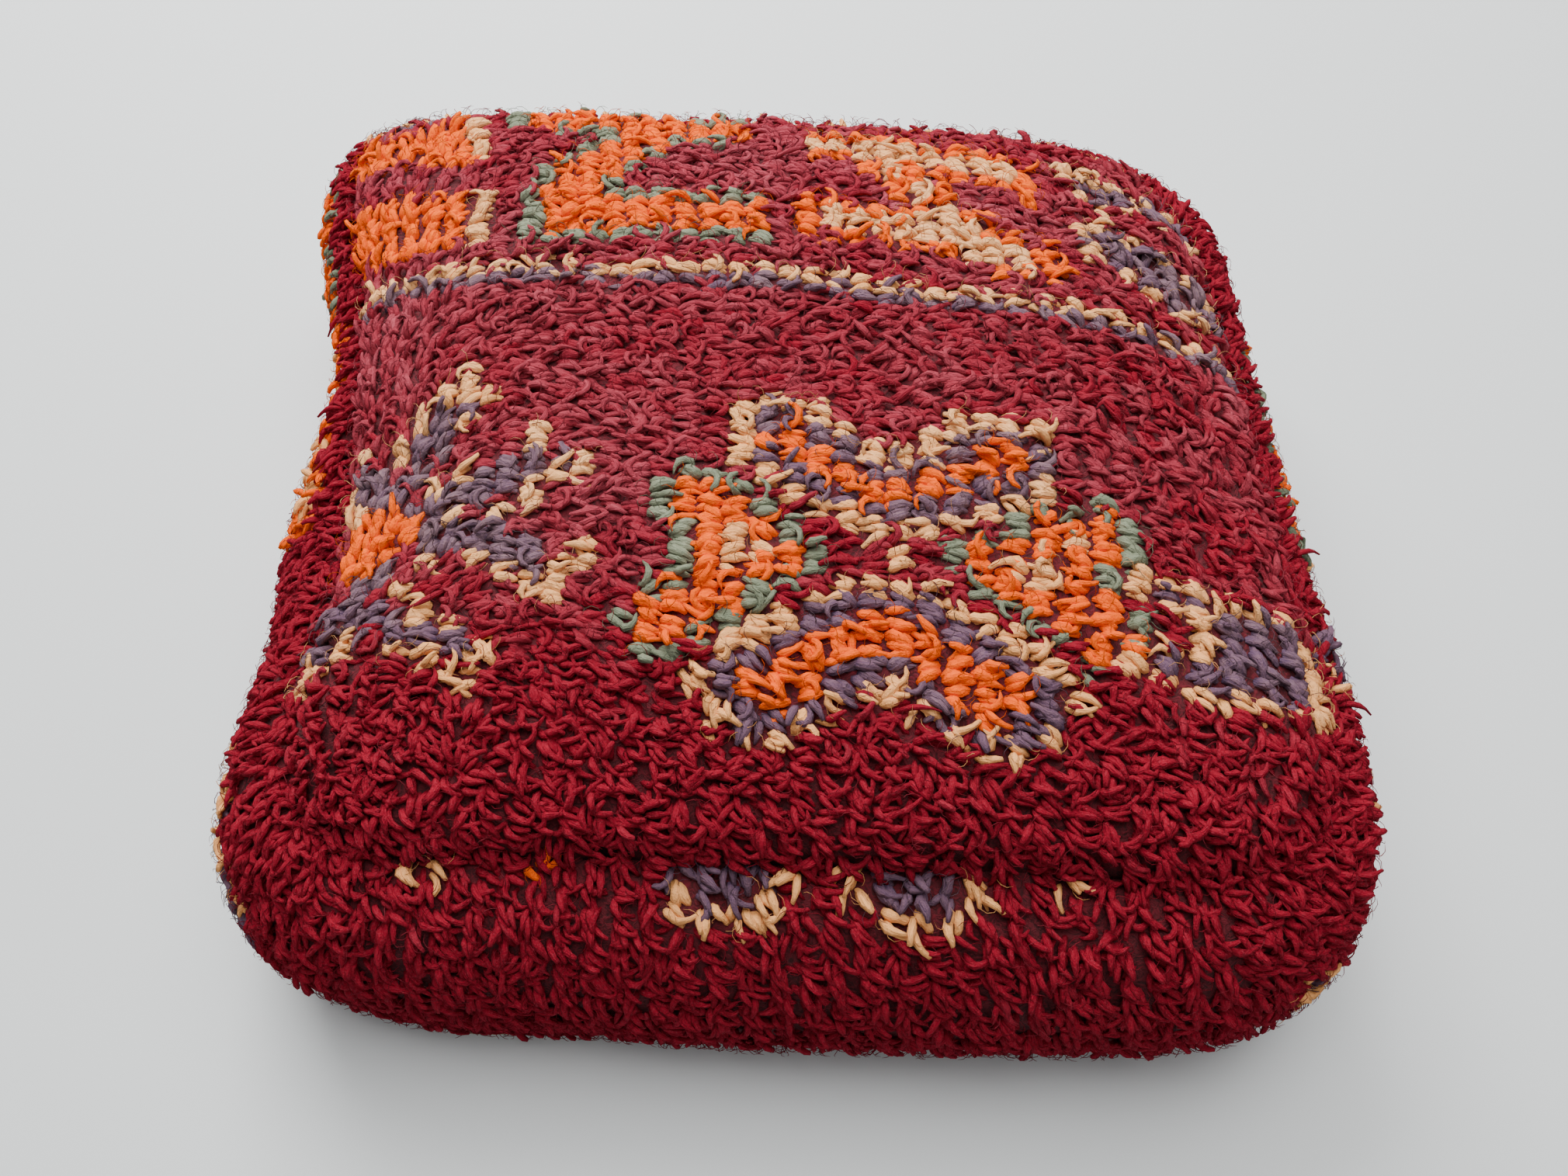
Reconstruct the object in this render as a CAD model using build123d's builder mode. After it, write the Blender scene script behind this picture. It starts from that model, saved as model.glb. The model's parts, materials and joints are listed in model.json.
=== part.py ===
"""Floor pouf: a square box cushion sewn from knotted-pile rug.

A domed top panel and four bulging side panels of rug are sewn to a canvas base
in two halves.  A zip in a shallow recess joins the halves and lets the stuffed
inner bag out.  Millimetres, +Z up, origin at the middle of the base, front at -Y.
"""

import os
from math import cos, hypot, radians, sin

from build123d import *

# Cover, measured over the tips of the pile.
cover_width = 640.0
cover_depth = 630.0
cover_height = 212.0
widest_height = 82.0
corner_radius = 84.0

# Shape of the side and of the crown above it.
base_inset = 40.0
crown_flat = 202.0
crown_fullness = 2.6
side_steps = 4
crown_steps = 8

# Rug: a woven ground with tufts knotted into it.
ground_weave = 4.0
pile_height = 12.0
rug_thickness = ground_weave + pile_height
seam_height = 166.0

# Sewing thread, laid in the inner edge of each seam.
seam_thread = 2.0

# Canvas base and the recess that keeps the zip off the floor.
canvas = 1.6
recess_end = 35.0
recess_width = 52.0
recess_depth = 3.7
recess_slope = 12.0
zip_window_end = 20.0
zip_window_width = 18.0

# Zip chain.
tape_width = 11.4
tape_thickness = 0.6
tape_overlap = 7.0
tape_gap = 7.2
tooth_pitch = 4.0
tooth_width = 1.8
tooth_height = 2.6
tooth_reach = 1.0
tooth_corner = 0.5
chain_end = 25.0
stop_length = 3.0
stop_gap = 1.0

# Slider, running along the chain, and its pull.
slider_length = 11.0
slider_plate = 0.9
slider_wall = 1.2
slider_clearance = 0.3
tape_slot = 1.0
divider_width = 2.4
divider_length = 4.0
lug_length = 3.2
lug_width = 1.2
lug_drop = 1.3
pin_radius = 0.6
pin_clearance = 0.05
lug_gap = 4.4
tab_thickness = 1.0
tab_neck = 4.0
tab_width = 7.0
tab_length = 24.0
tab_shoulder = 3.0
tab_hole_length = 8.0
tab_hole_width = 3.0

# Sewing of the tape to the canvas.
stitch_width = 0.8
stitch_depth = 0.5
stitch_margin = 2.5

# Inner bag and its filling.
bag_clearance = 1.5
bag_cloth = 1.0
filling_clearance = 0.5
tunnel_clearance = 1.5
tunnel_slope = 10.0

# Heights and places that follow from the sizes above.
base_width = cover_width - 2 * base_inset
base_depth = cover_depth - 2 * base_inset
crown_height = cover_height - widest_height
crown_reach = (cover_depth - crown_flat) / 2
recess_length = base_width - 2 * recess_end
zip_window_length = recess_length - 2 * zip_window_end
tape_length = zip_window_length + 2 * tape_overlap
teeth_per_side = int((zip_window_length - 2 * chain_end) / tooth_pitch)
hem_top = recess_depth + canvas
tape_middle = hem_top + tape_thickness / 2
first_tooth = -tooth_pitch * (teeth_per_side - 1) / 2
last_tooth = first_tooth + tooth_pitch * (teeth_per_side - 0.5)
slider_middle = last_tooth + tooth_width / 2 + slider_length / 2 - divider_length
channel_height = tooth_height + 2 * slider_clearance
channel_width = tape_gap + 2 * slider_clearance
slider_width = channel_width + 2 * slider_wall
slider_height = channel_height + 2 * slider_plate
slider_bottom = tape_middle - slider_height / 2
pin_height = slider_bottom - lug_drop
tooth_length = tape_gap / 2 + tooth_reach
tooth_middle = (tape_gap - tooth_length) / 2


def cover_levels(depth, bottom):
    """Inset and height of each level of the surface that lies depth below the pile tips."""
    levels = []
    for step in range(side_steps):
        height = bottom + (widest_height - bottom) * step / side_steps
        inset = base_inset * (1 - height / widest_height) ** 2
        levels.append((inset + depth, height))
    power = 2 / crown_fullness
    for step in range(crown_steps + 1):
        angle = radians(90 * step / crown_steps)
        across = max(cos(angle), 0.0) ** power
        up = sin(angle) ** power
        out = across ** (crown_fullness - 1) / crown_reach
        rise = up ** (crown_fullness - 1) / crown_height
        long = hypot(out, rise)
        inset = crown_reach * (1 - across) + depth * out / long
        height = widest_height + crown_height * up - depth * rise / long
        levels.append((inset, height))
    return levels


def cover_body(depth, bottom):
    """Solid inside the surface that lies depth below the pile tips, from bottom up."""
    with BuildPart() as body:
        for inset, height in cover_levels(depth, bottom):
            with BuildSketch(Plane.XY.offset(height)):
                RectangleRounded(
                    cover_width - 2 * inset,
                    cover_depth - 2 * inset,
                    corner_radius - depth,
                )
        loft(ruled=True)
    return body.part


def slab(low, high):
    """Flat block as wide as the cover, between two heights."""
    with BuildPart() as block:
        with BuildSketch(Plane.XY.offset(low)):
            Rectangle(2 * cover_width, 2 * cover_depth)
        extrude(amount=high - low)
    return block.part


def frustum(length, width, low, high, slope):
    """Block with sloping sides, widest at the bottom."""
    with BuildPart() as block:
        with BuildSketch(Plane.XY.offset(low)):
            Rectangle(length, width)
        with BuildSketch(Plane.XY.offset(high)):
            Rectangle(length - 2 * slope, width - 2 * slope)
        loft(ruled=True)
    return block.part


def keep(part, name):
    """Labels a finished piece and writes it under its name."""
    part.label = name
    export_step(part, f"parts/{name}.step")


os.makedirs("parts", exist_ok=True)

# The rug shell, and the thin layer at its back where the seams are sewn.
rug_outside = cover_body(0, canvas)
rug_inside = cover_body(rug_thickness, canvas)
thread_outside = cover_body(rug_thickness - seam_thread, canvas)

with BuildPart() as rug_shell:
    add(rug_outside)
    add(rug_inside, mode=Mode.SUBTRACT)

with BuildPart() as thread_layer:
    add(thread_outside)
    add(rug_inside, mode=Mode.SUBTRACT)

# Threads: a ring at the top seam, a ring at the base seam, one in each corner.
top_ring_low = seam_height - seam_thread / 2
base_ring_high = canvas + seam_thread

with BuildPart() as top_seam_thread:
    add(thread_layer.part)
    add(slab(top_ring_low, top_ring_low + seam_thread), mode=Mode.INTERSECT)
keep(top_seam_thread.part, "top_seam_thread")

with BuildPart() as base_seam_thread:
    add(thread_layer.part)
    add(slab(canvas, base_ring_high), mode=Mode.INTERSECT)
keep(base_seam_thread.part, "base_seam_thread")

# The corner seams lie on 45 degree lines through the corners of the plan.
ridge = (cover_width - cover_depth) / 2
far = cover_width
corner_signs = [(1, -1), (1, 1), (-1, 1), (-1, -1)]

with BuildPart() as corner_slabs:
    for side_x, side_y in corner_signs:
        middle = (side_x * (ridge + far) / 2, side_y * far / 2)
        with BuildSketch(Plane.XY.offset(base_ring_high)):
            with Locations(Location((*middle, 0), (0, 0, 45 * side_x * side_y))):
                Rectangle(far, seam_thread)
        extrude(amount=top_ring_low - base_ring_high)

with BuildPart() as corner_seam_threads:
    add(thread_layer.part)
    add(corner_slabs.part, mode=Mode.INTERSECT)
keep(corner_seam_threads.part, "corner_seam_threads")

# Top panel: the crown of the rug above the seam.
with BuildPart() as top_panel:
    add(rug_shell.part)
    split(bisect_by=Plane.XY.offset(seam_height), keep=Keep.TOP)
    add(top_seam_thread.part, mode=Mode.SUBTRACT)
keep(top_panel.part, "top_panel")

# Side panels, mitred at the corners.
front_right = (ridge + far, -far)
back_right = (ridge + far, far)
back_left = (-ridge - far, far)
front_left = (-ridge - far, -far)
wall_outlines = {
    "front_panel": [(-ridge, 0), (ridge, 0), front_right, front_left],
    "back_panel": [(ridge, 0), (-ridge, 0), back_left, back_right],
    "left_panel": [(-ridge, 0), front_left, back_left],
    "right_panel": [(ridge, 0), back_right, front_right],
}

for wall_name, outline in wall_outlines.items():
    with BuildPart() as wall:
        with BuildSketch():
            with BuildLine():
                Polyline(*outline, close=True)
            make_face()
        extrude(amount=seam_height)
        add(rug_shell.part, mode=Mode.INTERSECT)
        add(top_seam_thread.part, mode=Mode.SUBTRACT)
        add(base_seam_thread.part, mode=Mode.SUBTRACT)
        add(corner_seam_threads.part, mode=Mode.SUBTRACT)
    keep(wall.part, wall_name)

# Canvas base: one sheet with a recess and a window, in two halves.
recess_void = frustum(recess_length, recess_width, 0, recess_depth, recess_slope)
recess_skin = frustum(
    recess_length + 2 * canvas, recess_width + 2 * canvas, canvas, hem_top, recess_slope
)

for base_name, side in (("base_panel_front", Keep.BOTTOM), ("base_panel_back", Keep.TOP)):
    with BuildPart() as base_panel:
        with BuildSketch():
            RectangleRounded(base_width, base_depth, corner_radius)
        extrude(amount=canvas)
        add(recess_skin)
        add(recess_void, mode=Mode.SUBTRACT)
        with BuildSketch():
            Rectangle(zip_window_length, zip_window_width)
        extrude(amount=hem_top, mode=Mode.SUBTRACT)
        split(bisect_by=Plane(origin=(0, 0, 0), z_dir=(0, 1, 0)), keep=side)
    keep(base_panel.part, base_name)

# Zip tapes and teeth, front and back.
chain_plane = Plane.XY.offset(tape_middle)

for side_name, side in (("front", -1), ("back", 1)):
    with BuildPart() as zip_tape:
        with BuildSketch(chain_plane):
            with Locations((0, side * (tape_gap + tape_width) / 2)):
                Rectangle(tape_length, tape_width)
        extrude(amount=tape_thickness / 2, both=True)
    keep(zip_tape.part, f"zip_tape_{side_name}")

    shift = tooth_pitch / 2 if side > 0 else 0
    with BuildPart() as zip_teeth:
        with BuildSketch(chain_plane):
            with Locations(
                *[
                    (first_tooth + shift + tooth_pitch * count, side * tooth_middle)
                    for count in range(teeth_per_side)
                ]
            ):
                RectangleRounded(tooth_width, tooth_length, tooth_corner)
        extrude(amount=tooth_height / 2, both=True)
    keep(zip_teeth.part, f"zip_teeth_{side_name}")

# End stops of the chain.
slider_front = slider_middle + slider_length / 2
top_stop = slider_front + stop_gap + stop_length / 2
bottom_stop = first_tooth - tooth_width / 2 - stop_gap - stop_length / 2
stop_width = tape_gap / 2 - divider_width / 2 - slider_clearance

with BuildPart() as zip_top_stops:
    with BuildSketch(chain_plane):
        with Locations(
            (top_stop, (tape_gap - stop_width) / 2),
            (top_stop, -(tape_gap - stop_width) / 2),
        ):
            Rectangle(stop_length, stop_width)
    extrude(amount=tooth_height / 2, both=True)
keep(zip_top_stops.part, "zip_top_stops")

with BuildPart() as zip_bottom_stop:
    with BuildSketch(chain_plane):
        with Locations((bottom_stop, 0)):
            Rectangle(stop_length, tape_gap)
    extrude(amount=channel_height / 2, both=True)
keep(zip_bottom_stop.part, "zip_bottom_stop")

# Slider: two plates joined by the divider, walls with a slot for each tape, two lugs.
with BuildPart() as zip_slider:
    with Locations((slider_middle, 0, tape_middle)):
        Box(slider_length, slider_width, slider_height)
    fillet(zip_slider.edges().filter_by(Axis.Z), radius=slider_wall)
    with Locations((slider_middle, 0, tape_middle)):
        Box(slider_length, channel_width, channel_height, mode=Mode.SUBTRACT)
        Box(slider_length, slider_width, tape_slot, mode=Mode.SUBTRACT)
    with Locations((slider_front - divider_length / 2, 0, tape_middle)):
        Box(divider_length, divider_width, slider_height)
    lug_offset = (lug_gap + lug_width) / 2
    lug_height = 2 * lug_drop
    with Locations(
        (slider_middle, lug_offset, pin_height),
        (slider_middle, -lug_offset, pin_height),
    ):
        Box(lug_length, lug_width, lug_height)
    with Locations(Location((slider_middle, 0, pin_height), (90, 0, 0))):
        Cylinder(pin_radius + pin_clearance, slider_width, mode=Mode.SUBTRACT)
keep(zip_slider.part, "zip_slider")

# Pull: a tab with a neck between the lugs, a cross pin and a finger hole.
tab_plane = Plane.XY.offset(pin_height)
tab_end = slider_middle - tab_length

with BuildPart() as zip_pull:
    with BuildSketch(tab_plane):
        with BuildLine():
            Polyline(
                (slider_middle + pin_radius, tab_neck / 2),
                (slider_middle - tab_shoulder, tab_neck / 2),
                (slider_middle - 2 * tab_shoulder, tab_width / 2),
                (tab_end, tab_width / 2),
                (tab_end, -tab_width / 2),
                (slider_middle - 2 * tab_shoulder, -tab_width / 2),
                (slider_middle - tab_shoulder, -tab_neck / 2),
                (slider_middle + pin_radius, -tab_neck / 2),
                close=True,
            )
        make_face()
        with Locations((tab_end + tab_width / 2 + tab_hole_length / 2, 0)):
            SlotOverall(tab_hole_length, tab_hole_width, mode=Mode.SUBTRACT)
    extrude(amount=tab_thickness / 2, both=True)
    tab_corners = zip_pull.edges().filter_by(Axis.Z).group_by(Axis.X)[0]
    fillet(tab_corners, radius=tab_width / 2 - tab_thickness / 2)
    with Locations(Location((slider_middle, 0, pin_height), (90, 0, 0))):
        Cylinder(pin_radius, lug_gap + 2 * lug_width)
keep(zip_pull.part, "zip_pull")

# Sewing of each tape to its canvas hem, seen in the recess.
stitch_offset = zip_window_width / 2 + stitch_margin

with BuildPart() as zip_stitching:
    with BuildSketch(Plane.XY.offset(recess_depth - stitch_depth)):
        with Locations((0, stitch_offset), (0, -stitch_offset)):
            Rectangle(zip_window_length, stitch_width)
    extrude(amount=stitch_depth)
keep(zip_stitching.part, "zip_stitching")

# Inner bag, draped over the zip recess, and the filling in it.
bag_depth = rug_thickness + bag_clearance
filling_depth = bag_depth + bag_cloth + filling_clearance
tunnel_top = tape_middle + slider_height / 2 + tunnel_clearance
tunnel_length = recess_length + 2 * (canvas + tunnel_clearance) + 2 * tunnel_slope
tunnel_width = recess_width + 2 * (canvas + tunnel_clearance) + 2 * tunnel_slope


def bag_body(depth, cloth):
    """Solid inside the bag, with its underside lifted over the recess by a further cloth."""
    tunnel = frustum(
        tunnel_length + 2 * cloth,
        tunnel_width + 2 * cloth,
        canvas + cloth,
        tunnel_top + cloth,
        tunnel_slope,
    )
    with BuildPart() as body:
        add(cover_body(depth, canvas + cloth))
        add(tunnel, mode=Mode.SUBTRACT)
    return body.part


with BuildPart() as inner_bag:
    add(bag_body(bag_depth, 0))
    add(bag_body(bag_depth + bag_cloth, bag_cloth), mode=Mode.SUBTRACT)
keep(inner_bag.part, "inner_bag")

with BuildPart() as filling:
    add(bag_body(filling_depth, bag_cloth))
keep(filling.part, "filling")
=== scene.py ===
"""Floor pouf sewn from an old knotted-pile rug: its fabric, pile, base and zip.

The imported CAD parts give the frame.  The cover is formed as six sheets, blown up
by a cloth simulation, and planted knot by knot with tufts of felted wool.
"""

import json
import logging
import math
import random
from dataclasses import dataclass, field, replace
from enum import Enum

import bmesh
import bpy
import numpy as np
from mathutils import Matrix, Quaternion, Vector, noise

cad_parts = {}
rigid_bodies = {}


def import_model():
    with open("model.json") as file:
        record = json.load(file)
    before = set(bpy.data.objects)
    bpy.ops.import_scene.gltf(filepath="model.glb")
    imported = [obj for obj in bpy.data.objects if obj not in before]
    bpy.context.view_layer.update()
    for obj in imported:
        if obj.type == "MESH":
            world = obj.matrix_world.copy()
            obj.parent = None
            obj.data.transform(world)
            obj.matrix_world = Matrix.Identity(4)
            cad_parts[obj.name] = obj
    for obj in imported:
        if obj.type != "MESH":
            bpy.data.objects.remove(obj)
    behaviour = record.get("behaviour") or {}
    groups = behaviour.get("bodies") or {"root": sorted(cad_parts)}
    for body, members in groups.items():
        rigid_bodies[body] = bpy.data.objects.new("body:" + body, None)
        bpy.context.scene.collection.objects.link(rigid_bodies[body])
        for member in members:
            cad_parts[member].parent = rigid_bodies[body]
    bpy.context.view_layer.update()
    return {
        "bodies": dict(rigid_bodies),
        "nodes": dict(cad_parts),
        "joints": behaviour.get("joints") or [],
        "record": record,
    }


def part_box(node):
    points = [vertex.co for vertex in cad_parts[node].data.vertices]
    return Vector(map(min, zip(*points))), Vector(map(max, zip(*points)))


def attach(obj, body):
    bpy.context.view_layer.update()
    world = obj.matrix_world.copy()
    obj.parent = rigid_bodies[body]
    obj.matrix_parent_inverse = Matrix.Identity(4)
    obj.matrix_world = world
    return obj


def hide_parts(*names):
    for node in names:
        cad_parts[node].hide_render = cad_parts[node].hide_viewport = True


LOG = logging.getLogger("floor_pouf")
MM = 0.001
FLOOR_GAP = 0.0005

Colour = tuple[float, float, float]
Point2 = tuple[float, float]


class Yarn(Enum):
    """The dyed wools of the rug."""

    CRIMSON = "crimson"
    ORANGE = "orange"
    PEACH = "peach"
    VIOLET = "violet"
    SAGE = "sage"


YARNS = list(Yarn)


class Side(Enum):
    """The five rug panels of the cover."""

    TOP = "top_panel"
    FRONT = "front_panel"
    RIGHT = "right_panel"
    BACK = "back_panel"
    LEFT = "left_panel"


def smooth_step(low: float, high: float, value: np.ndarray | float) -> np.ndarray | float:
    """Eased 0 to 1 as value goes from low to high; low may be the larger."""
    share = np.clip((value - low) / (high - low), 0.0, 1.0)
    return share * share * (3.0 - 2.0 * share)


def link(obj: bpy.types.Object) -> bpy.types.Object:
    """Puts an object in the scene and returns it."""
    bpy.context.scene.collection.objects.link(obj)
    return obj


def new_piece(name: str, mesh: bpy.types.Mesh) -> bpy.types.Object:
    """A smooth-shaded object in the scene, at the origin.

    Args:
        name: the piece's name.
        mesh: its mesh, already in place.

    Returns:
        The new object.
    """
    mesh.name = name
    mesh.shade_smooth()
    return link(bpy.data.objects.new(name, mesh))


def mesh_of(bm: bmesh.types.BMesh, name: str) -> bpy.types.Mesh:
    """Writes a bmesh to a new mesh and frees it.

    Args:
        bm: the bmesh to write.
        name: its name.

    Returns:
        The new mesh.
    """
    mesh = bpy.data.meshes.new(name)
    bm.to_mesh(mesh)
    bm.free()
    return mesh


def settled(obj: bpy.types.Object) -> bpy.types.Mesh:
    """The mesh of an object with its modifiers applied."""
    graph = bpy.context.evaluated_depsgraph_get()
    return bpy.data.meshes.new_from_object(obj.evaluated_get(graph), depsgraph=graph)


def discard(obj: bpy.types.Object) -> None:
    """Takes a helper object and its mesh out of the file.

    Args:
        obj: the helper object.
    """
    mesh = obj.data
    bpy.data.objects.remove(obj)
    if isinstance(mesh, bpy.types.Mesh):
        bpy.data.meshes.remove(mesh)


# ---------------------------------------------------------------- finishes


class Nodes:
    """Short forms for building a node tree."""

    def __init__(self, tree: bpy.types.NodeTree) -> None:
        """Starts on an empty tree."""
        self.tree = tree

    def add(self, kind: str, **values: object) -> bpy.types.Node:
        """Adds a node.

        Args:
            kind: the node's type without its ShaderNode prefix.
            values: properties, or inputs given as in_NAME or in_INDEX.

        Returns:
            The node.
        """
        prefix = "" if kind.startswith("NodeGroup") else "ShaderNode"
        node = self.tree.nodes.new(prefix + kind)
        for key, value in values.items():
            if not key.startswith("in_"):
                setattr(node, key, value)
                continue
            socket_name = key[3:]
            socket = node.inputs[int(socket_name) if socket_name.isdigit() else socket_name]
            if isinstance(value, bpy.types.NodeSocket):
                self.tree.links.new(value, socket)
            else:
                socket.default_value = value
        return node

    def math(self, operation: str, first: object, second: object = 0.0) -> bpy.types.NodeSocket:
        """Result of a Math node on two values or sockets."""
        return self.add("Math", operation=operation, in_0=first, in_1=second).outputs[0]

    def noise(self, vector: bpy.types.NodeSocket, scale: float, detail: float) -> bpy.types.NodeSocket:
        """Height of a noise texture."""
        return self.add("TexNoise", in_Vector=vector, in_Scale=scale, in_Detail=detail).outputs[0]

    def remap(
        self, value: bpy.types.NodeSocket, spans: tuple[float, float, float, float]
    ) -> bpy.types.NodeSocket:
        """Value taken from one span to another, clamped: from low, from high, to low, to high.

        Args:
            value: the value to take over.
            spans: from low, from high, to low, to high.

        Returns:
            The new value's socket.
        """
        node = self.add("MapRange", in_0=value)
        for index, span in enumerate(spans):
            node.inputs[index + 1].default_value = span
        return node.outputs[0]

    def mix(self, share: object, first: object, second: object, blend: str = "MIX") -> bpy.types.NodeSocket:
        """Mix of two colours or sockets.

        Args:
            share: how much of the second.
            first: the first colour or socket.
            second: the second colour or socket.
            blend: how the two are mixed.

        Returns:
            The mixed colour's socket.
        """
        node = self.add("Mix", data_type="RGBA", blend_type=blend, in_0=share)
        for index, value in ((6, first), (7, second)):
            if isinstance(value, bpy.types.NodeSocket):
                self.tree.links.new(value, node.inputs[index])
            else:
                node.inputs[index].default_value = (*value, 1.0)
        return node.outputs[2]


def new_group(
    name: str, inputs: dict[str, tuple[str, object]], outputs: dict[str, str]
) -> tuple[bpy.types.NodeTree, Nodes, bpy.types.Node, bpy.types.Node]:
    """Makes an empty shader node group with its sockets.

    Args:
        name: the group's name.
        inputs: socket name to its type and default value.
        outputs: socket name to its type.

    Returns:
        The tree, a builder on it, its input node and its output node.
    """
    tree = bpy.data.node_groups.new(name, "ShaderNodeTree")
    for label, (kind, value) in inputs.items():
        socket = tree.interface.new_socket(label, in_out="INPUT", socket_type=kind)
        socket.default_value = value
    for label, kind in outputs.items():
        tree.interface.new_socket(label, in_out="OUTPUT", socket_type=kind)
    nodes = Nodes(tree)
    return tree, nodes, nodes.add("NodeGroupInput"), nodes.add("NodeGroupOutput")


FLOAT, RGBA = "NodeSocketFloat", "NodeSocketColor"


class SharedEffects:
    """Node groups that several finishes use."""

    def __init__(self) -> None:
        """Builds each group once."""
        self.fibre = self._fibre()
        self.weave = self._weave()
        self.wear = self._wear()
        self.loose = self._loose()

    @staticmethod
    def _fibre() -> bpy.types.NodeTree:
        """Felted fibres along a strand of yarn, its root darkened with painted shade, and its sun fading,
        which also carries painted light on the top.

        Returns:
            The node group.
        """
        tree, nodes, given, out = new_group(
            "felted_fibre",
            {
                "Yarn": (RGBA, (0.4, 0.1, 0.1, 1.0)),
                "Faded and lit": (RGBA, (0.6, 0.2, 0.2, 1.0)),
                "Deep fibre and root shade": (RGBA, (0.1, 0.02, 0.02, 1.0)),
                "Unevenness": (FLOAT, 0.5),
            },
            {"Color": RGBA, "Height": FLOAT},
        )
        strand = nodes.add("UVMap", uv_map="strand").outputs[0]
        split = nodes.add("SeparateXYZ", in_0=strand)
        tone = nodes.add("Attribute", attribute_name="tone").outputs["Fac"]
        place = nodes.add("TexCoord").outputs["Object"]
        along, around = split.outputs[0], split.outputs[1]
        grain = nodes.add(
            "CombineXYZ",
            in_X=nodes.math("MULTIPLY", along, 2.4),
            in_Y=nodes.math("MULTIPLY", around, 9.0),
            in_Z=nodes.math("MULTIPLY", tone, 23.0),
        ).outputs[0]
        streaks = nodes.noise(grain, 1.6, 5.0)
        fluff = nodes.noise(place, 900.0, 3.0)
        patches = nodes.noise(place, 7.0, 3.0)
        sun = nodes.remap(patches, (0.36, 0.66, 0.0, 0.4))
        pale = nodes.remap(tone, (-1.0, 1.0, -0.75, 0.7))
        # Sun fading in random patches and by tone; the tone also carries painted light that makes the top
        # lighter towards its back, where light falls.
        fade_and_light = nodes.math("MULTIPLY", nodes.math("ADD", sun, pale), given.outputs["Unevenness"])
        bright = nodes.mix(fade_and_light, given.outputs["Yarn"], given.outputs["Faded and lit"])
        threads = nodes.remap(streaks, (0.36, 0.62, 0.42, 0.0))
        body = nodes.mix(threads, bright, given.outputs["Deep fibre and root shade"])
        # Painted shade: each strand darkens towards its root, where the strands around it shade it.
        root = nodes.remap(along, (0.0, 0.28, 0.6, 0.0))
        shaded = nodes.mix(root, body, given.outputs["Deep fibre and root shade"])
        lint = nodes.remap(fluff, (0.5, 0.78, 0.0, 0.22))
        dusty = nodes.mix(lint, shaded, given.outputs["Faded and lit"])
        height = nodes.math("ADD", streaks, nodes.math("MULTIPLY", fluff, 0.45))
        tree.links.new(dusty, out.inputs["Color"])
        tree.links.new(height, out.inputs["Height"])
        return tree

    @staticmethod
    def _weave() -> bpy.types.NodeTree:
        """Plain weave of two crossing threads, with slubs.

        Returns:
            The node group.
        """
        tree, nodes, given, out = new_group(
            "plain_weave",
            {
                "Thread": (RGBA, (0.6, 0.5, 0.4, 1.0)),
                "Gap": (RGBA, (0.2, 0.15, 0.1, 1.0)),
                "Threads per metre": (FLOAT, 1200.0),
            },
            {"Color": RGBA, "Height": FLOAT},
        )
        place = nodes.add("TexCoord").outputs["Object"]
        split = nodes.add("SeparateXYZ", in_0=place)
        count = given.outputs["Threads per metre"]
        waves = []
        for axis, shift in ((0, 0.0), (1, 0.5)):
            run = nodes.math("MULTIPLY", split.outputs[axis], count)
            waves.append(nodes.math("SINE", nodes.math("MULTIPLY", nodes.math("ADD", run, shift), math.pi)))
        over = nodes.math("MULTIPLY", waves[0], waves[1])
        crossing = nodes.math("ABSOLUTE", over)
        slub = nodes.noise(place, 260.0, 4.0)
        height = nodes.math("ADD", crossing, nodes.math("MULTIPLY", slub, 0.8))
        shade = nodes.remap(height, (0.25, 1.1, 0.9, 0.0))
        base = nodes.mix(shade, given.outputs["Thread"], given.outputs["Gap"])
        soil = nodes.remap(nodes.noise(place, 11.0, 4.0), (0.45, 0.75, 0.0, 0.4))
        tree.links.new(nodes.mix(soil, base, given.outputs["Gap"]), out.inputs["Color"])
        tree.links.new(height, out.inputs["Height"])
        return tree

    @staticmethod
    def _wear() -> bpy.types.NodeTree:
        """Fine scratches and handling marks, as a mask.

        Returns:
            The node group.
        """
        tree, nodes, given, out = new_group(
            "handling_wear", {"Scale": (FLOAT, 400.0)}, {"Mask": FLOAT}
        )
        place = nodes.add("TexCoord").outputs["Object"]
        scratch = nodes.add(
            "TexNoise", in_Vector=place, in_Scale=given.outputs["Scale"], in_Detail=6.0
        ).outputs[0]
        tree.links.new(nodes.remap(scratch, (0.42, 0.7, 0.0, 1.0)), out.inputs["Mask"])
        return tree

    @staticmethod
    def _loose() -> bpy.types.NodeTree:
        """Loose matted fibre in two shades.

        Returns:
            The node group.
        """
        tree, nodes, given, out = new_group(
            "loose_fibre",
            {"Light": (RGBA, (0.8, 0.8, 0.8, 1.0)), "Shade": (RGBA, (0.4, 0.4, 0.4, 1.0))},
            {"Color": RGBA, "Height": FLOAT},
        )
        place = nodes.add("TexCoord").outputs["Object"]
        strands = nodes.add(
            "TexNoise", in_Vector=place, in_Scale=180.0, in_Detail=8.0, in_Distortion=2.5
        ).outputs[0]
        share = nodes.remap(strands, (0.35, 0.65, 0.0, 1.0))
        tree.links.new(nodes.mix(share, given.outputs["Shade"], given.outputs["Light"]), out.inputs["Color"])
        tree.links.new(strands, out.inputs["Height"])
        return tree


def new_material(name: str) -> tuple[bpy.types.Material, Nodes, bpy.types.Node]:
    """A node material, a builder on its tree, and its Principled shader.

    Args:
        name: its name.

    Returns:
        The material, its builder and its shader.
    """
    material = bpy.data.materials.new(name)
    material.use_nodes = True
    nodes = Nodes(material.node_tree)
    return material, nodes, material.node_tree.nodes["Principled BSDF"]


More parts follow.
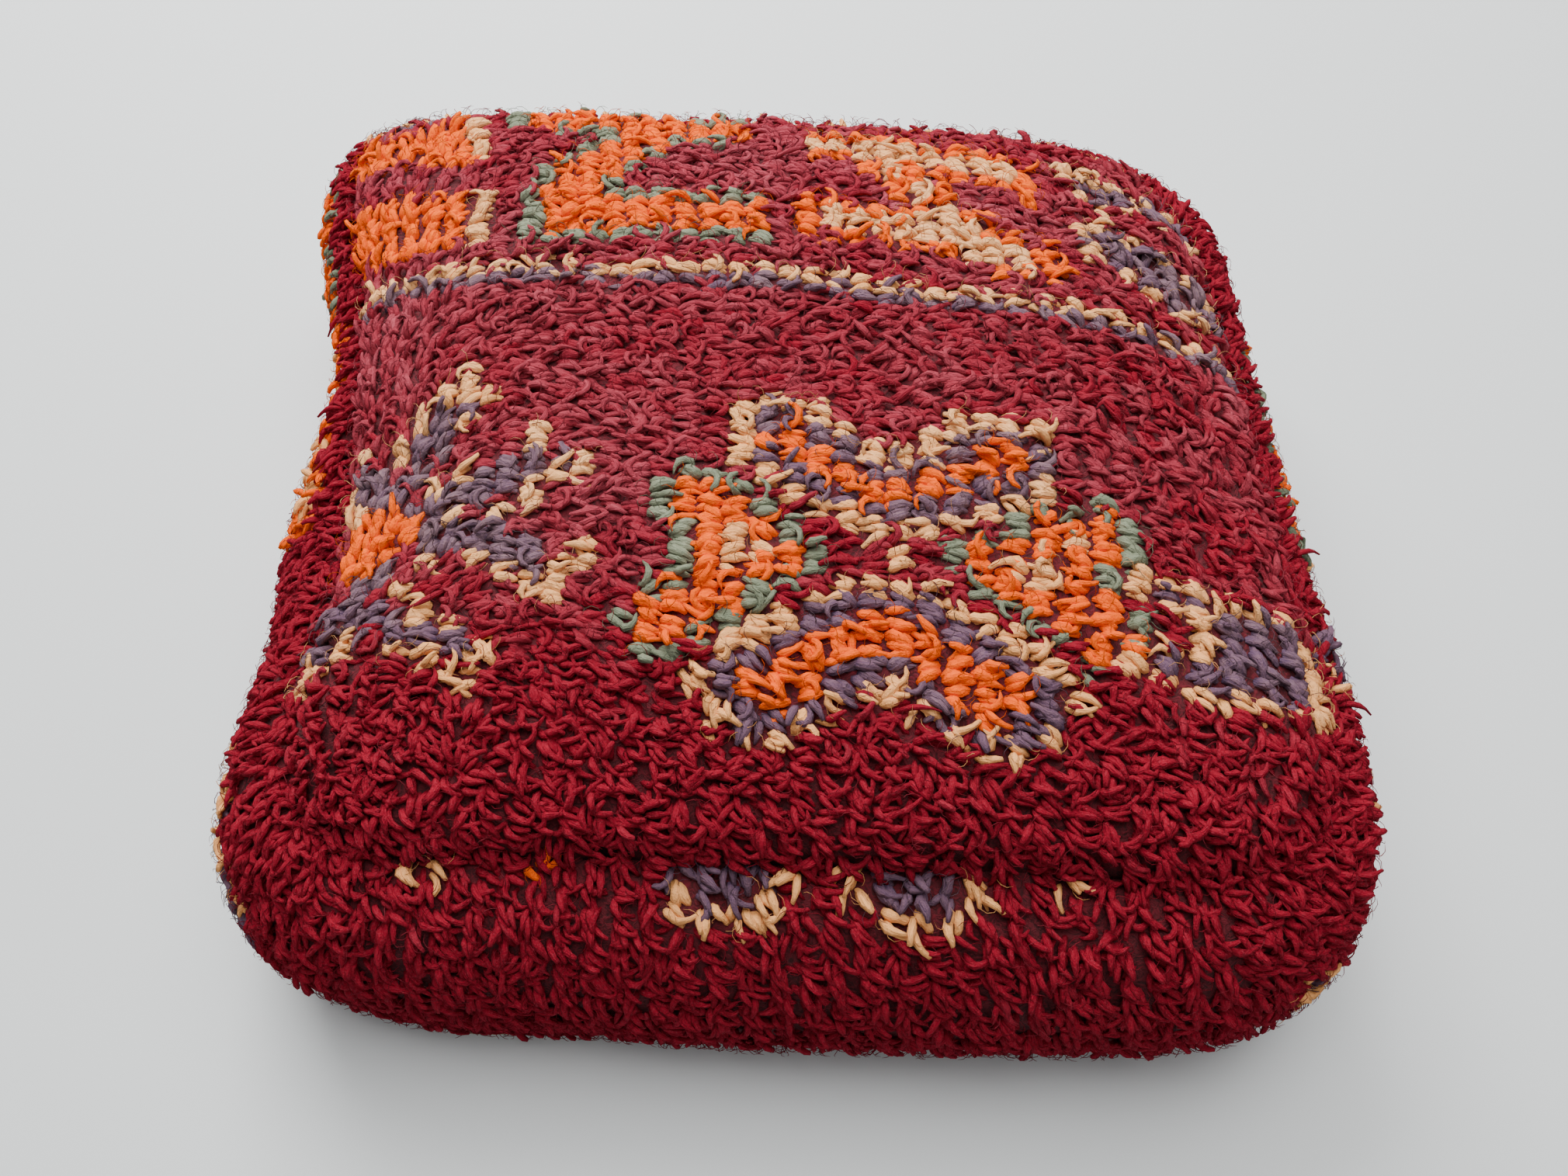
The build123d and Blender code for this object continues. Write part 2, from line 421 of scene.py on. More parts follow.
def wire_bump(
    nodes: Nodes, shader: bpy.types.Node, height: bpy.types.NodeSocket, strength: float, depth: float
) -> None:
    """Feeds a height into the shader's normal through a Bump node."""
    bump = nodes.add("Bump", in_Strength=strength, in_Distance=depth, in_Height=height)
    nodes.tree.links.new(bump.outputs[0], shader.inputs["Normal"])


@dataclass(frozen=True)
class WoolFinish:
    """Felted wool of one dye."""

    name: str
    yarn: Colour
    # The sun-bleached colour, which also serves as painted light on the top.
    faded_and_lit: Colour
    # The dark of the fibre streaks, which also serves as painted shade at the strand roots.
    deep_and_root_shade: Colour
    unevenness: float = 0.6

    def build(self, shared: SharedEffects) -> bpy.types.Material:
        """Makes the material.

        Args:
            shared: the shared node groups.

        Returns:
            The material.
        """
        material, nodes, shader = new_material(self.name)
        group = nodes.add("Group", node_tree=shared.fibre)
        for label, value in (("Yarn", self.yarn), ("Faded and lit", self.faded_and_lit), ("Deep fibre and root shade", self.deep_and_root_shade)):
            group.inputs[label].default_value = (*value, 1.0)
        group.inputs["Unevenness"].default_value = self.unevenness
        nodes.tree.links.new(group.outputs["Color"], shader.inputs["Base Color"])
        shader.inputs["Roughness"].default_value = 0.92
        shader.inputs["Specular IOR Level"].default_value = 0.05
        shader.inputs["Sheen Weight"].default_value = 0.04
        shader.inputs["Sheen Roughness"].default_value = 0.5
        shader.inputs["Sheen Tint"].default_value = (*self.faded_and_lit, 1.0)
        wire_bump(nodes, shader, group.outputs["Height"], 1.0, 0.0016)
        return material


@dataclass(frozen=True)
class WovenFinish:
    """Plain-woven cloth."""

    name: str
    thread: Colour
    gap: Colour
    threads_per_metre: float
    bump: float = 0.6

    def build(self, shared: SharedEffects) -> bpy.types.Material:
        """Makes the material.

        Args:
            shared: the shared node groups.

        Returns:
            The material.
        """
        material, nodes, shader = new_material(self.name)
        group = nodes.add("Group", node_tree=shared.weave)
        group.inputs["Thread"].default_value = (*self.thread, 1.0)
        group.inputs["Gap"].default_value = (*self.gap, 1.0)
        group.inputs["Threads per metre"].default_value = self.threads_per_metre
        nodes.tree.links.new(group.outputs["Color"], shader.inputs["Base Color"])
        shader.inputs["Roughness"].default_value = 0.88
        shader.inputs["Specular IOR Level"].default_value = 0.2
        wire_bump(nodes, shader, group.outputs["Height"], self.bump, 0.0004)
        return material


@dataclass(frozen=True)
class HardFinish:
    """Metal or moulded plastic with handling wear."""

    name: str
    colour: Colour
    worn: Colour
    metallic: float
    roughness: tuple[float, float]
    wear_scale: float = 500.0

    def build(self, shared: SharedEffects) -> bpy.types.Material:
        """Makes the material.

        Args:
            shared: the shared node groups.

        Returns:
            The material.
        """
        material, nodes, shader = new_material(self.name)
        wear = nodes.add("Group", node_tree=shared.wear)
        wear.inputs["Scale"].default_value = self.wear_scale
        mask = wear.outputs["Mask"]
        nodes.tree.links.new(nodes.mix(mask, self.colour, self.worn), shader.inputs["Base Color"])
        low, high = self.roughness
        nodes.tree.links.new(nodes.remap(mask, (0.0, 1.0, low, high)), shader.inputs["Roughness"])
        shader.inputs["Metallic"].default_value = self.metallic
        wire_bump(nodes, shader, mask, 0.15, 0.0001)
        return material


@dataclass(frozen=True)
class FibreFinish:
    """Loose matted fibre."""

    name: str
    colour: Colour
    shade: Colour

    def build(self, shared: SharedEffects) -> bpy.types.Material:
        """Makes the material.

        Args:
            shared: the shared node groups.

        Returns:
            The material.
        """
        material, nodes, shader = new_material(self.name)
        group = nodes.add("Group", node_tree=shared.loose)
        group.inputs["Light"].default_value = (*self.colour, 1.0)
        group.inputs["Shade"].default_value = (*self.shade, 1.0)
        nodes.tree.links.new(group.outputs["Color"], shader.inputs["Base Color"])
        shader.inputs["Roughness"].default_value = 0.95
        wire_bump(nodes, shader, group.outputs["Height"], 0.8, 0.003)
        return material


# Each wool: its yarn colour, its sun-bleached colour that also serves as painted light on the top, the dark
# of its fibre streaks that also serves as painted shade at the roots, and its unevenness.
WOOLS = {
    Yarn.CRIMSON: WoolFinish(
        "crimson_wool", (0.29, 0.009, 0.024), (0.49, 0.10, 0.13), (0.075, 0.001, 0.006), 0.75
    ),
    Yarn.ORANGE: WoolFinish(
        "orange_wool", (0.99, 0.125, 0.001), (0.99, 0.175, 0.008), (0.62, 0.05, 0.001), 0.5
    ),
    Yarn.PEACH: WoolFinish(
        "peach_wool", (0.92, 0.42, 0.155), (0.95, 0.56, 0.29), (0.58, 0.24, 0.07), 0.7
    ),
    Yarn.VIOLET: WoolFinish(
        "violet_wool", (0.16, 0.087, 0.12), (0.33, 0.205, 0.195), (0.035, 0.02, 0.07), 0.6
    ),
    Yarn.SAGE: WoolFinish(
        "sage_wool", (0.20, 0.225, 0.15), (0.32, 0.335, 0.235), (0.08, 0.09, 0.055), 0.6
    ),
}
# Dark crimson ground wool, painted darker than the yarn as shade in the gaps between the tufts.
GROUND_WOOL_AND_GAP_SHADE = FibreFinish("rug_ground_wool_gap_shade", (0.13, 0.004, 0.012), (0.035, 0.001, 0.003))
CANVAS = WovenFinish("base_canvas_weave", (0.66, 0.58, 0.45), (0.36, 0.30, 0.21), 900.0)
TAPE = WovenFinish("zip_tape_weave", (0.58, 0.50, 0.38), (0.28, 0.23, 0.16), 1900.0, 0.5)
THREAD = WovenFinish("sewing_thread_twist", (0.70, 0.60, 0.44), (0.34, 0.26, 0.16), 2600.0, 0.5)
CALICO = WovenFinish("bag_calico_weave", (0.80, 0.75, 0.65), (0.50, 0.45, 0.36), 1100.0, 0.4)
TEETH = HardFinish("zip_teeth_nylon", (0.50, 0.43, 0.31), (0.62, 0.55, 0.42), 0.0, (0.35, 0.55))
STEEL = HardFinish("zip_nickel", (0.62, 0.60, 0.56), (0.42, 0.40, 0.36), 1.0, (0.22, 0.42))
STUFFING = FibreFinish("stuffing_fibre", (0.88, 0.87, 0.84), (0.62, 0.61, 0.58))


# ---------------------------------------------------------------- the cover's shape


@dataclass
class SheetGrid:
    """Places on one formed panel, looked up by its flat share across and up."""

    side: Side
    places: np.ndarray
    across_m: float
    up_m: float

    def __post_init__(self) -> None:
        """Works out the panel's directions at every grid point."""
        self.across = self._unit(np.gradient(self.places, axis=0))
        self.up = self._unit(np.gradient(self.places, axis=1))
        self.out = self._unit(np.cross(self.across, self.up))

    @staticmethod
    def _unit(vectors: np.ndarray) -> np.ndarray:
        """Vectors at length one."""
        return vectors / np.maximum(np.linalg.norm(vectors, axis=-1, keepdims=True), 1e-9)

    def _look_up(self, table: np.ndarray, u: np.ndarray, v: np.ndarray) -> np.ndarray:
        """Table values at shares u across and v up, blended between grid points.

        Args:
            table: values on the grid's points.
            u: shares across.
            v: shares up.

        Returns:
            The value at each pair of shares.
        """
        nu, nv = table.shape[0] - 1, table.shape[1] - 1
        x, y = np.clip(u, 0, 1) * nu, np.clip(v, 0, 1) * nv
        i, j = np.minimum(x.astype(int), nu - 1), np.minimum(y.astype(int), nv - 1)
        s, t = (x - i)[..., None], (y - j)[..., None]
        low = table[i, j] * (1 - s) + table[i + 1, j] * s
        high = table[i, j + 1] * (1 - s) + table[i + 1, j + 1] * s
        return low * (1 - t) + high * t

    def at(self, u: np.ndarray, v: np.ndarray) -> tuple[np.ndarray, np.ndarray, np.ndarray, np.ndarray]:
        """Places and directions at flat shares.

        Args:
            u: share across, 0 to 1.
            v: share up, 0 to 1.

        Returns:
            Places, directions across, directions up, and outward directions.
        """
        out = self._unit(self._look_up(self.out, u, v))
        across = self._look_up(self.across, u, v)
        across = self._unit(across - out * (across * out).sum(-1, keepdims=True))
        return self._look_up(self.places, u, v), across, np.cross(out, across), out


RING_SPOTS = ((-1, -1), (0, -1), (1, -1), (1, 0), (1, 1), (0, 1), (-1, 1), (-1, 0))


@dataclass
class Swell:
    """A soft lump or hollow of the stuffed cover, placed in flat box shares."""

    centre: tuple[float, float, float]
    reach: float
    height: float


@dataclass
class RugCover:
    """The woven ground of the rug, sewn to a box and filled."""

    base_half: Point2
    lowest: float
    seam_height: float = 0.153
    lowest_crown: float = 0.197
    pile_depth: float = 0.012
    round_share: float = 0.30
    back_lift: float = 0.016
    widest_share: float = 0.46
    side_cells: int = 26
    height_cells: int = 8
    pressure: float = 4.0
    frames: int = 16
    most_move: float = 0.016
    seam_dip: float = 0.010
    seam_dip_reach: float = 0.045
    ripple: float = 0.0045
    ground_thickness: float = 0.003
    widest_ring: tuple[Point2, ...] = (
        (-0.342, -0.250), (-0.02, -0.277), (0.292, -0.285), (0.288, -0.01),
        (0.284, 0.280), (-0.03, 0.300), (-0.350, 0.318), (-0.320, 0.06),
    )
    seam_ring: tuple[Point2, ...] = (
        (-0.284, -0.208), (-0.03, -0.213), (0.270, -0.232), (0.278, -0.01),
        (0.248, 0.254), (-0.03, 0.308), (-0.327, 0.322), (-0.280, 0.06),
    )
    swells: tuple[Swell, ...] = (
        Swell((-0.95, -0.75, 0.95), 0.35, 0.008),
        Swell((0.95, -0.75, 0.8), 0.35, 0.006),
        Swell((-1.0, 0.22, 0.6), 0.20, -0.020),
        Swell((-1.0, -0.22, 0.5), 0.26, 0.008),
        Swell((0.1, -0.95, 0.55), 0.5, 0.004),
    )
    grids: dict[Side, SheetGrid] = field(default_factory=dict)
    form: bpy.types.Mesh | None = None

    def build(self) -> None:
        """Forms the cover, blows it up, and keeps its panels' grids."""
        start = self._sewn_box()
        blown = self._blown_up(start)
        self.form = self._finely_shaped(blown)
        self._read_grids()

    def _rounded(self, x: float, y: float) -> Point2:
        """A point of the unit square with the square's corners rounded off.

        Args:
            x: share across.
            y: share up.

        Returns:
            The moved point.
        """
        ring = max(abs(x), abs(y), 1e-6)
        x, y = x / ring, y / ring
        flat = 1.0 - self.round_share
        inner_x, inner_y = max(-flat, min(flat, x)), max(-flat, min(flat, y))
        over = Vector((x - inner_x, y - inner_y))
        if over.x and over.y:
            over = over.normalized() * self.round_share
        return (inner_x + over.x) * ring, (inner_y + over.y) * ring

    @staticmethod
    def _on_ring(ring: tuple[Point2, ...], x: float, y: float) -> Vector:
        """The place of a unit-square point on a ring of four corners and four edge middles.

        Args:
            ring: four corners and four edge middles.
            x: share across.
            y: share up.

        Returns:
            The place in metres.
        """
        place = Vector((0.0, 0.0))
        for (corner_x, corner_y), spot in zip(RING_SPOTS, ring):
            if corner_x and corner_y:
                share = (1 + x * corner_x) * (1 + y * corner_y) * (x * corner_x + y * corner_y - 1) / 4
            elif corner_x:
                share = (1 - y * y) * (1 + x * corner_x) / 2
            else:
                share = (1 - x * x) * (1 + y * corner_y) / 2
            place += Vector(spot) * share
        return place

    def _formed(self, flat: Vector) -> Vector:
        """Where a point of the flat box starts out, before the filling goes in.

        Args:
            flat: a point of the flat box.

        Returns:
            The starting place in metres.
        """
        x, y = self._rounded(flat.x, flat.y)
        half_x, half_y = self.base_half
        foot = Vector((x * half_x, y * half_y))
        if flat.z < 1e-6:
            return Vector((foot.x, foot.y, self.lowest))
        wide = self._on_ring(self.widest_ring, x, y)
        seam = self._on_ring(self.seam_ring, x, y)
        rise = self.seam_height + self.back_lift * (y + 1) / 2 - self.lowest
        if flat.z > 1 - 1e-6:
            crown = (1 - abs(flat.x) ** 2.9) * (1 - abs(flat.y) ** 2.9)
            edge = self.seam_height + self.back_lift * (y + 1) / 2
            return Vector((seam.x, seam.y, edge + (self.lowest_crown - edge) * crown))
        if flat.z < self.widest_share:
            share = math.sin(flat.z / self.widest_share * math.pi / 2) ** 0.8
            plan = foot.lerp(wide, share)
        else:
            share = (flat.z - self.widest_share) / (1 - self.widest_share)
            plan = wide.lerp(seam, share**2)
        return Vector((plan.x, plan.y, self.lowest + rise * flat.z))

    def _sewn_box(self) -> bpy.types.Mesh:
        """Six grids joined along their edges and moved to the starting form.

        Returns:
            The joined mesh.
        """
        bm = bmesh.new()
        flat = bm.verts.layers.float_vector.new("flat")
        wide, tall = self.side_cells, self.height_cells
        level = Matrix.Translation((0, 0, 1))
        stood_up = Matrix.Rotation(math.pi / 2, 4, "X") @ Matrix.Diagonal((1, 0.5, 1, 1))
        upright = Matrix.Translation((0, -1, 0.5)) @ stood_up
        for matrix in (Matrix.Diagonal((1, 1, 0, 1)), level):
            bmesh.ops.create_grid(bm, x_segments=wide, y_segments=wide, size=1.0, matrix=matrix)
        for quarter in range(4):
            turn = Matrix.Rotation(quarter * math.pi / 2, 4, "Z")
            bmesh.ops.create_grid(bm, x_segments=wide, y_segments=tall, size=1.0, matrix=turn @ upright)
        bmesh.ops.remove_doubles(bm, verts=bm.verts, dist=1e-4)
        bmesh.ops.recalc_face_normals(bm, faces=bm.faces)
        for vert in bm.verts:
            vert[flat] = vert.co.copy()
            vert.co = self._formed(vert.co)
        return mesh_of(bm, "cover_start")

    def _blown_up(self, start: bpy.types.Mesh) -> bpy.types.Mesh:
        """The start form after cloth simulation under the filling's pressure.

        Args:
            start: the mesh before filling.

        Returns:
            The filled mesh.
        """
        obj = link(bpy.data.objects.new("cover_cloth", start))
        count = len(start.vertices)
        flat = np.zeros(count * 3)
        start.attributes["flat"].data.foreach_get("vector", flat)
        held = obj.vertex_groups.new(name="held")
        held.add([int(i) for i in np.flatnonzero(flat.reshape(-1, 3)[:, 2] < 1e-4)], 1.0, "REPLACE")
        cloth = obj.modifiers.new("cloth", "CLOTH")
        made = cloth.settings
        made.quality = 6
        made.mass = 0.35
        made.tension_stiffness = 35
        made.compression_stiffness = 30
        made.shear_stiffness = 14
        made.bending_stiffness = 6
        made.air_damping = 4
        made.vertex_group_mass = "held"
        made.use_pressure = True
        made.uniform_pressure_force = self.pressure
        made.effector_weights.gravity = 0.25
        cloth.point_cache.frame_end = self.frames
        scene = bpy.context.scene
        for frame in range(1, self.frames + 1):
            scene.frame_set(frame)
        blown = settled(obj)
        scene.frame_set(1)
        before = np.zeros(count * 3)
        after = np.zeros(count * 3)
        start.vertices.foreach_get("co", before)
        blown.vertices.foreach_get("co", after)
        move = (after - before).reshape(-1, 3)
        far = np.linalg.norm(move, axis=1, keepdims=True)
        LOG.info("cloth moved up to %.1f mm", far.max() / MM)
        move *= np.minimum(1.0, self.most_move / np.maximum(far, 1e-9))
        blown.vertices.foreach_set("co", before + move.ravel())
        discard(obj)
        return blown

    def _finely_shaped(self, coarse: bpy.types.Mesh) -> bpy.types.Mesh:
        """The cover at twice the grid, with its sewn dip, lumps and ripples.

        Args:
            coarse: the blown-up mesh.

        Returns:
            The finished form.
        """
        obj = link(bpy.data.objects.new("cover_form", coarse))
        finer = obj.modifiers.new("finer", "SUBSURF")
        finer.levels = finer.render_levels = 1
        mesh = settled(obj)
        discard(obj)
        count = len(mesh.vertices)
        co, flat, out = np.zeros(count * 3), np.zeros(count * 3), np.zeros(count * 3)
        mesh.vertices.foreach_get("co", co)
        mesh.vertex_normals.foreach_get("vector", out)
        mesh.attributes["flat"].data.foreach_get("vector", flat)
        co, flat, out = co.reshape(-1, 3), flat.reshape(-1, 3), out.reshape(-1, 3)
        on_top = flat[:, 2] > 1 - 1e-4
        from_edge = 1 - np.maximum(np.abs(flat[:, 0]), np.abs(flat[:, 1]))
        from_seam = np.where(on_top, from_edge, (1 - flat[:, 2]) * 0.62)
        free = smooth_step(0.02, 0.3, flat[:, 2])
        shift = -self.seam_dip * np.exp(-((from_seam / self.seam_dip_reach) ** 2))
        for swell in self.swells:
            away = np.linalg.norm(flat - np.array(swell.centre), axis=1)
            shift += swell.height * np.exp(-((away / swell.reach) ** 2))
        ripples = np.array([noise.noise(Vector(p) * 9.0) for p in co])
        shift += self.ripple * ripples
        co += out * (shift * free)[:, None]
        mesh.vertices.foreach_set("co", co.ravel())
        mesh.update()
        return mesh

    def _read_grids(self) -> None:
        """Sorts the form's points into one grid for each rug panel."""
        mesh = self.form
        count = len(mesh.vertices)
        co, flat = np.zeros(count * 3), np.zeros(count * 3)
        mesh.vertices.foreach_get("co", co)
        mesh.attributes["flat"].data.foreach_get("vector", flat)
        co, flat = co.reshape(-1, 3), flat.reshape(-1, 3)
        x, y, z = (flat[:, 0] + 1) / 2, (flat[:, 1] + 1) / 2, flat[:, 2]
        near = 1e-4
        picks = {
            Side.TOP: (z > 1 - near, x, y),
            Side.FRONT: (y < near, x, z),
            Side.RIGHT: (x > 1 - near, y, z),
            Side.BACK: (y > 1 - near, 1 - x, z),
            Side.LEFT: (x < near, 1 - y, z),
        }
        wide, tall = 2 * self.side_cells, 2 * self.height_cells
        for side, (mask, u, v) in picks.items():
            rows = wide if side is Side.TOP else tall
            table = np.zeros((wide + 1, rows + 1, 3))
            i = np.rint(u[mask] * wide).astype(int)
            j = np.rint(v[mask] * rows).astype(int)
            table[i, j] = co[mask]
            across = np.linalg.norm(np.diff(table, axis=0), axis=2).sum(0).mean()
            up = np.linalg.norm(np.diff(table, axis=1), axis=2).sum(1).mean()
            self.grids[side] = SheetGrid(side, table, float(across), float(up))
            LOG.info("%s measures %.0f by %.0f mm", side.value, across / MM, up / MM)

    def panel_mesh(self, side: Side) -> bpy.types.Mesh:
        """The ground of one panel, cut out of the form.

        Args:
            side: which panel.

        Returns:
            The panel's mesh.
        """
        bm = bmesh.new()
        bm.from_mesh(self.form)
        flat = bm.verts.layers.float_vector["flat"]
        inside = {
            Side.TOP: lambda f: f.z > 1 - 1e-4,
            Side.FRONT: lambda f: f.y < -1 + 1e-4,
            Side.RIGHT: lambda f: f.x > 1 - 1e-4,
            Side.BACK: lambda f: f.y > 1 - 1e-4,
            Side.LEFT: lambda f: f.x < -1 + 1e-4,
        }[side]
        others = [face for face in bm.faces if not all(inside(vert[flat]) for vert in face.verts)]
        bmesh.ops.delete(bm, geom=others, context="FACES")
        return mesh_of(bm, side.value)

    def dress(self, finish: bpy.types.Material) -> list[bpy.types.Object]:
        """Makes the ground pieces.

        Args:
            finish: the material of the woven ground.

        Returns:
            One piece for each rug panel.
        """
        pieces = []
        for side in Side:
            piece = new_piece(side.value.replace("_panel", "_ground_weave"), self.panel_mesh(side))
            wall = piece.modifiers.new("thickness", "SOLIDIFY")
            wall.thickness = self.ground_thickness
            wall.offset = -1.0
            mesh = settled(piece)
            old, piece.data = piece.data, mesh
            piece.modifiers.clear()
            bpy.data.meshes.remove(old)
            piece.data.materials.append(finish)
            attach(piece, "cover")
            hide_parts(side.value)
            pieces.append(piece)
        return pieces


# ---------------------------------------------------------------- the rug's pattern


@dataclass(frozen=True)
class KnotField:
    """The knots of one panel: how many across and up, and where each lies."""

    side: Side
    columns: int
    rows: int

    def centres(self) -> tuple[np.ndarray, np.ndarray]:
        """Column and row of each knot's middle, in knots from the panel's corner."""
        column, row = np.meshgrid(np.arange(self.columns) + 0.5, np.arange(self.rows) + 0.5, indexing="ij")
        return column, row


@dataclass(frozen=True)
class Figure:
    """A closed motif with coloured borders inside its outline, in knots."""

    outline: tuple[Point2, ...]
    borders: tuple[tuple[Yarn, float], ...]
    core: Yarn
    column_weight: float = 1.35

    def moved(self, across: float, up: float, flip_x: bool = False, flip_y: bool = False) -> "Figure":
        """A copy turned over and moved to a place on the panel."""
        sx, sy = -1.0 if flip_x else 1.0, -1.0 if flip_y else 1.0
        return Figure(tuple((x * sx + across, y * sy + up) for x, y in self.outline), self.borders, self.core)

    def paint(self, chart: np.ndarray, column: np.ndarray, row: np.ndarray) -> None:
        """Colours the knots that lie inside the outline.

        Args:
            chart: the panel's yarn numbers, changed in place.
            column: knot columns.
            row: knot rows.
        """
        inside = np.zeros(column.shape, bool)
        depth = np.full(column.shape, 1e9)
        corners = np.array(self.outline)
        for (ax, ay), (bx, by) in zip(corners, np.roll(corners, -1, axis=0)):
            crosses = (ay > row) != (by > row)
            with np.errstate(divide="ignore", invalid="ignore"):
                meets = (bx - ax) * (row - ay) / (by - ay) + ax
            inside ^= crosses & (column < meets)
            dx, dy = (bx - ax) * self.column_weight, by - ay
            px, py = (column - ax) * self.column_weight, row - ay
            share = np.clip((px * dx + py * dy) / max(dx * dx + dy * dy, 1e-9), 0, 1)
            depth = np.minimum(depth, np.hypot(px - share * dx, py - share * dy))
        chart[inside] = YARNS.index(self.core)
        edge = sum(width for _, width in self.borders)
        for yarn, width in reversed(self.borders):
            chart[inside & (depth < edge)] = YARNS.index(yarn)
            edge -= width


def mirrored(half: tuple[Point2, ...], borders: tuple[tuple[Yarn, float], ...], core: Yarn) -> Figure:
    """A figure that is the same on both sides of its middle line.

    Args:
        half: its right half, starting and ending on the middle line.
        borders: the borders inside its outline, outermost first.
        core: the yarn of its middle.

    Returns:
        The whole figure.
    """
    return Figure(half + tuple((-x, y) for x, y in reversed(half[1:-1])), borders, core)


@dataclass(frozen=True)
class Branch:
    """A line of knots with a dotted border, such as one arm of a star."""

    path: tuple[Point2, ...]
    core: Yarn = Yarn.VIOLET
    dots: Yarn = Yarn.PEACH
    core_width: float = 0.66
    dot_width: float = 1.5
    row_weight: float = 0.62

    def moved(self, across: float, up: float, flip_x: bool = False) -> "Branch":
        """A copy turned over and moved to a place on the panel."""
        sign = -1.0 if flip_x else 1.0
        return Branch(tuple((x * sign + across, y + up) for x, y in self.path), self.core, self.dots)

    def paint(self, chart: np.ndarray, column: np.ndarray, row: np.ndarray) -> None:
        """Colours the knots near the line.

        Args:
            chart: the panel's yarn numbers, changed in place.
            column: knot columns.
            row: knot rows.
        """
        away = np.full(column.shape, 1e9)
        for (ax, ay), (bx, by) in zip(self.path, self.path[1:]):
            dx, dy = bx - ax, (by - ay) * self.row_weight
            px, py = column - ax, (row - ay) * self.row_weight
            share = np.clip((px * dx + py * dy) / max(dx * dx + dy * dy, 1e-9), 0, 1)
            away = np.minimum(away, np.hypot(px - share * dx, py - share * dy))
        dotted = (np.floor(column) + np.floor(row / 2)) % 2 < 1
        free = chart == YARNS.index(Yarn.CRIMSON)
        chart[free & (away < self.dot_width) & dotted] = YARNS.index(self.dots)
        chart[away < self.core_width] = YARNS.index(self.core)


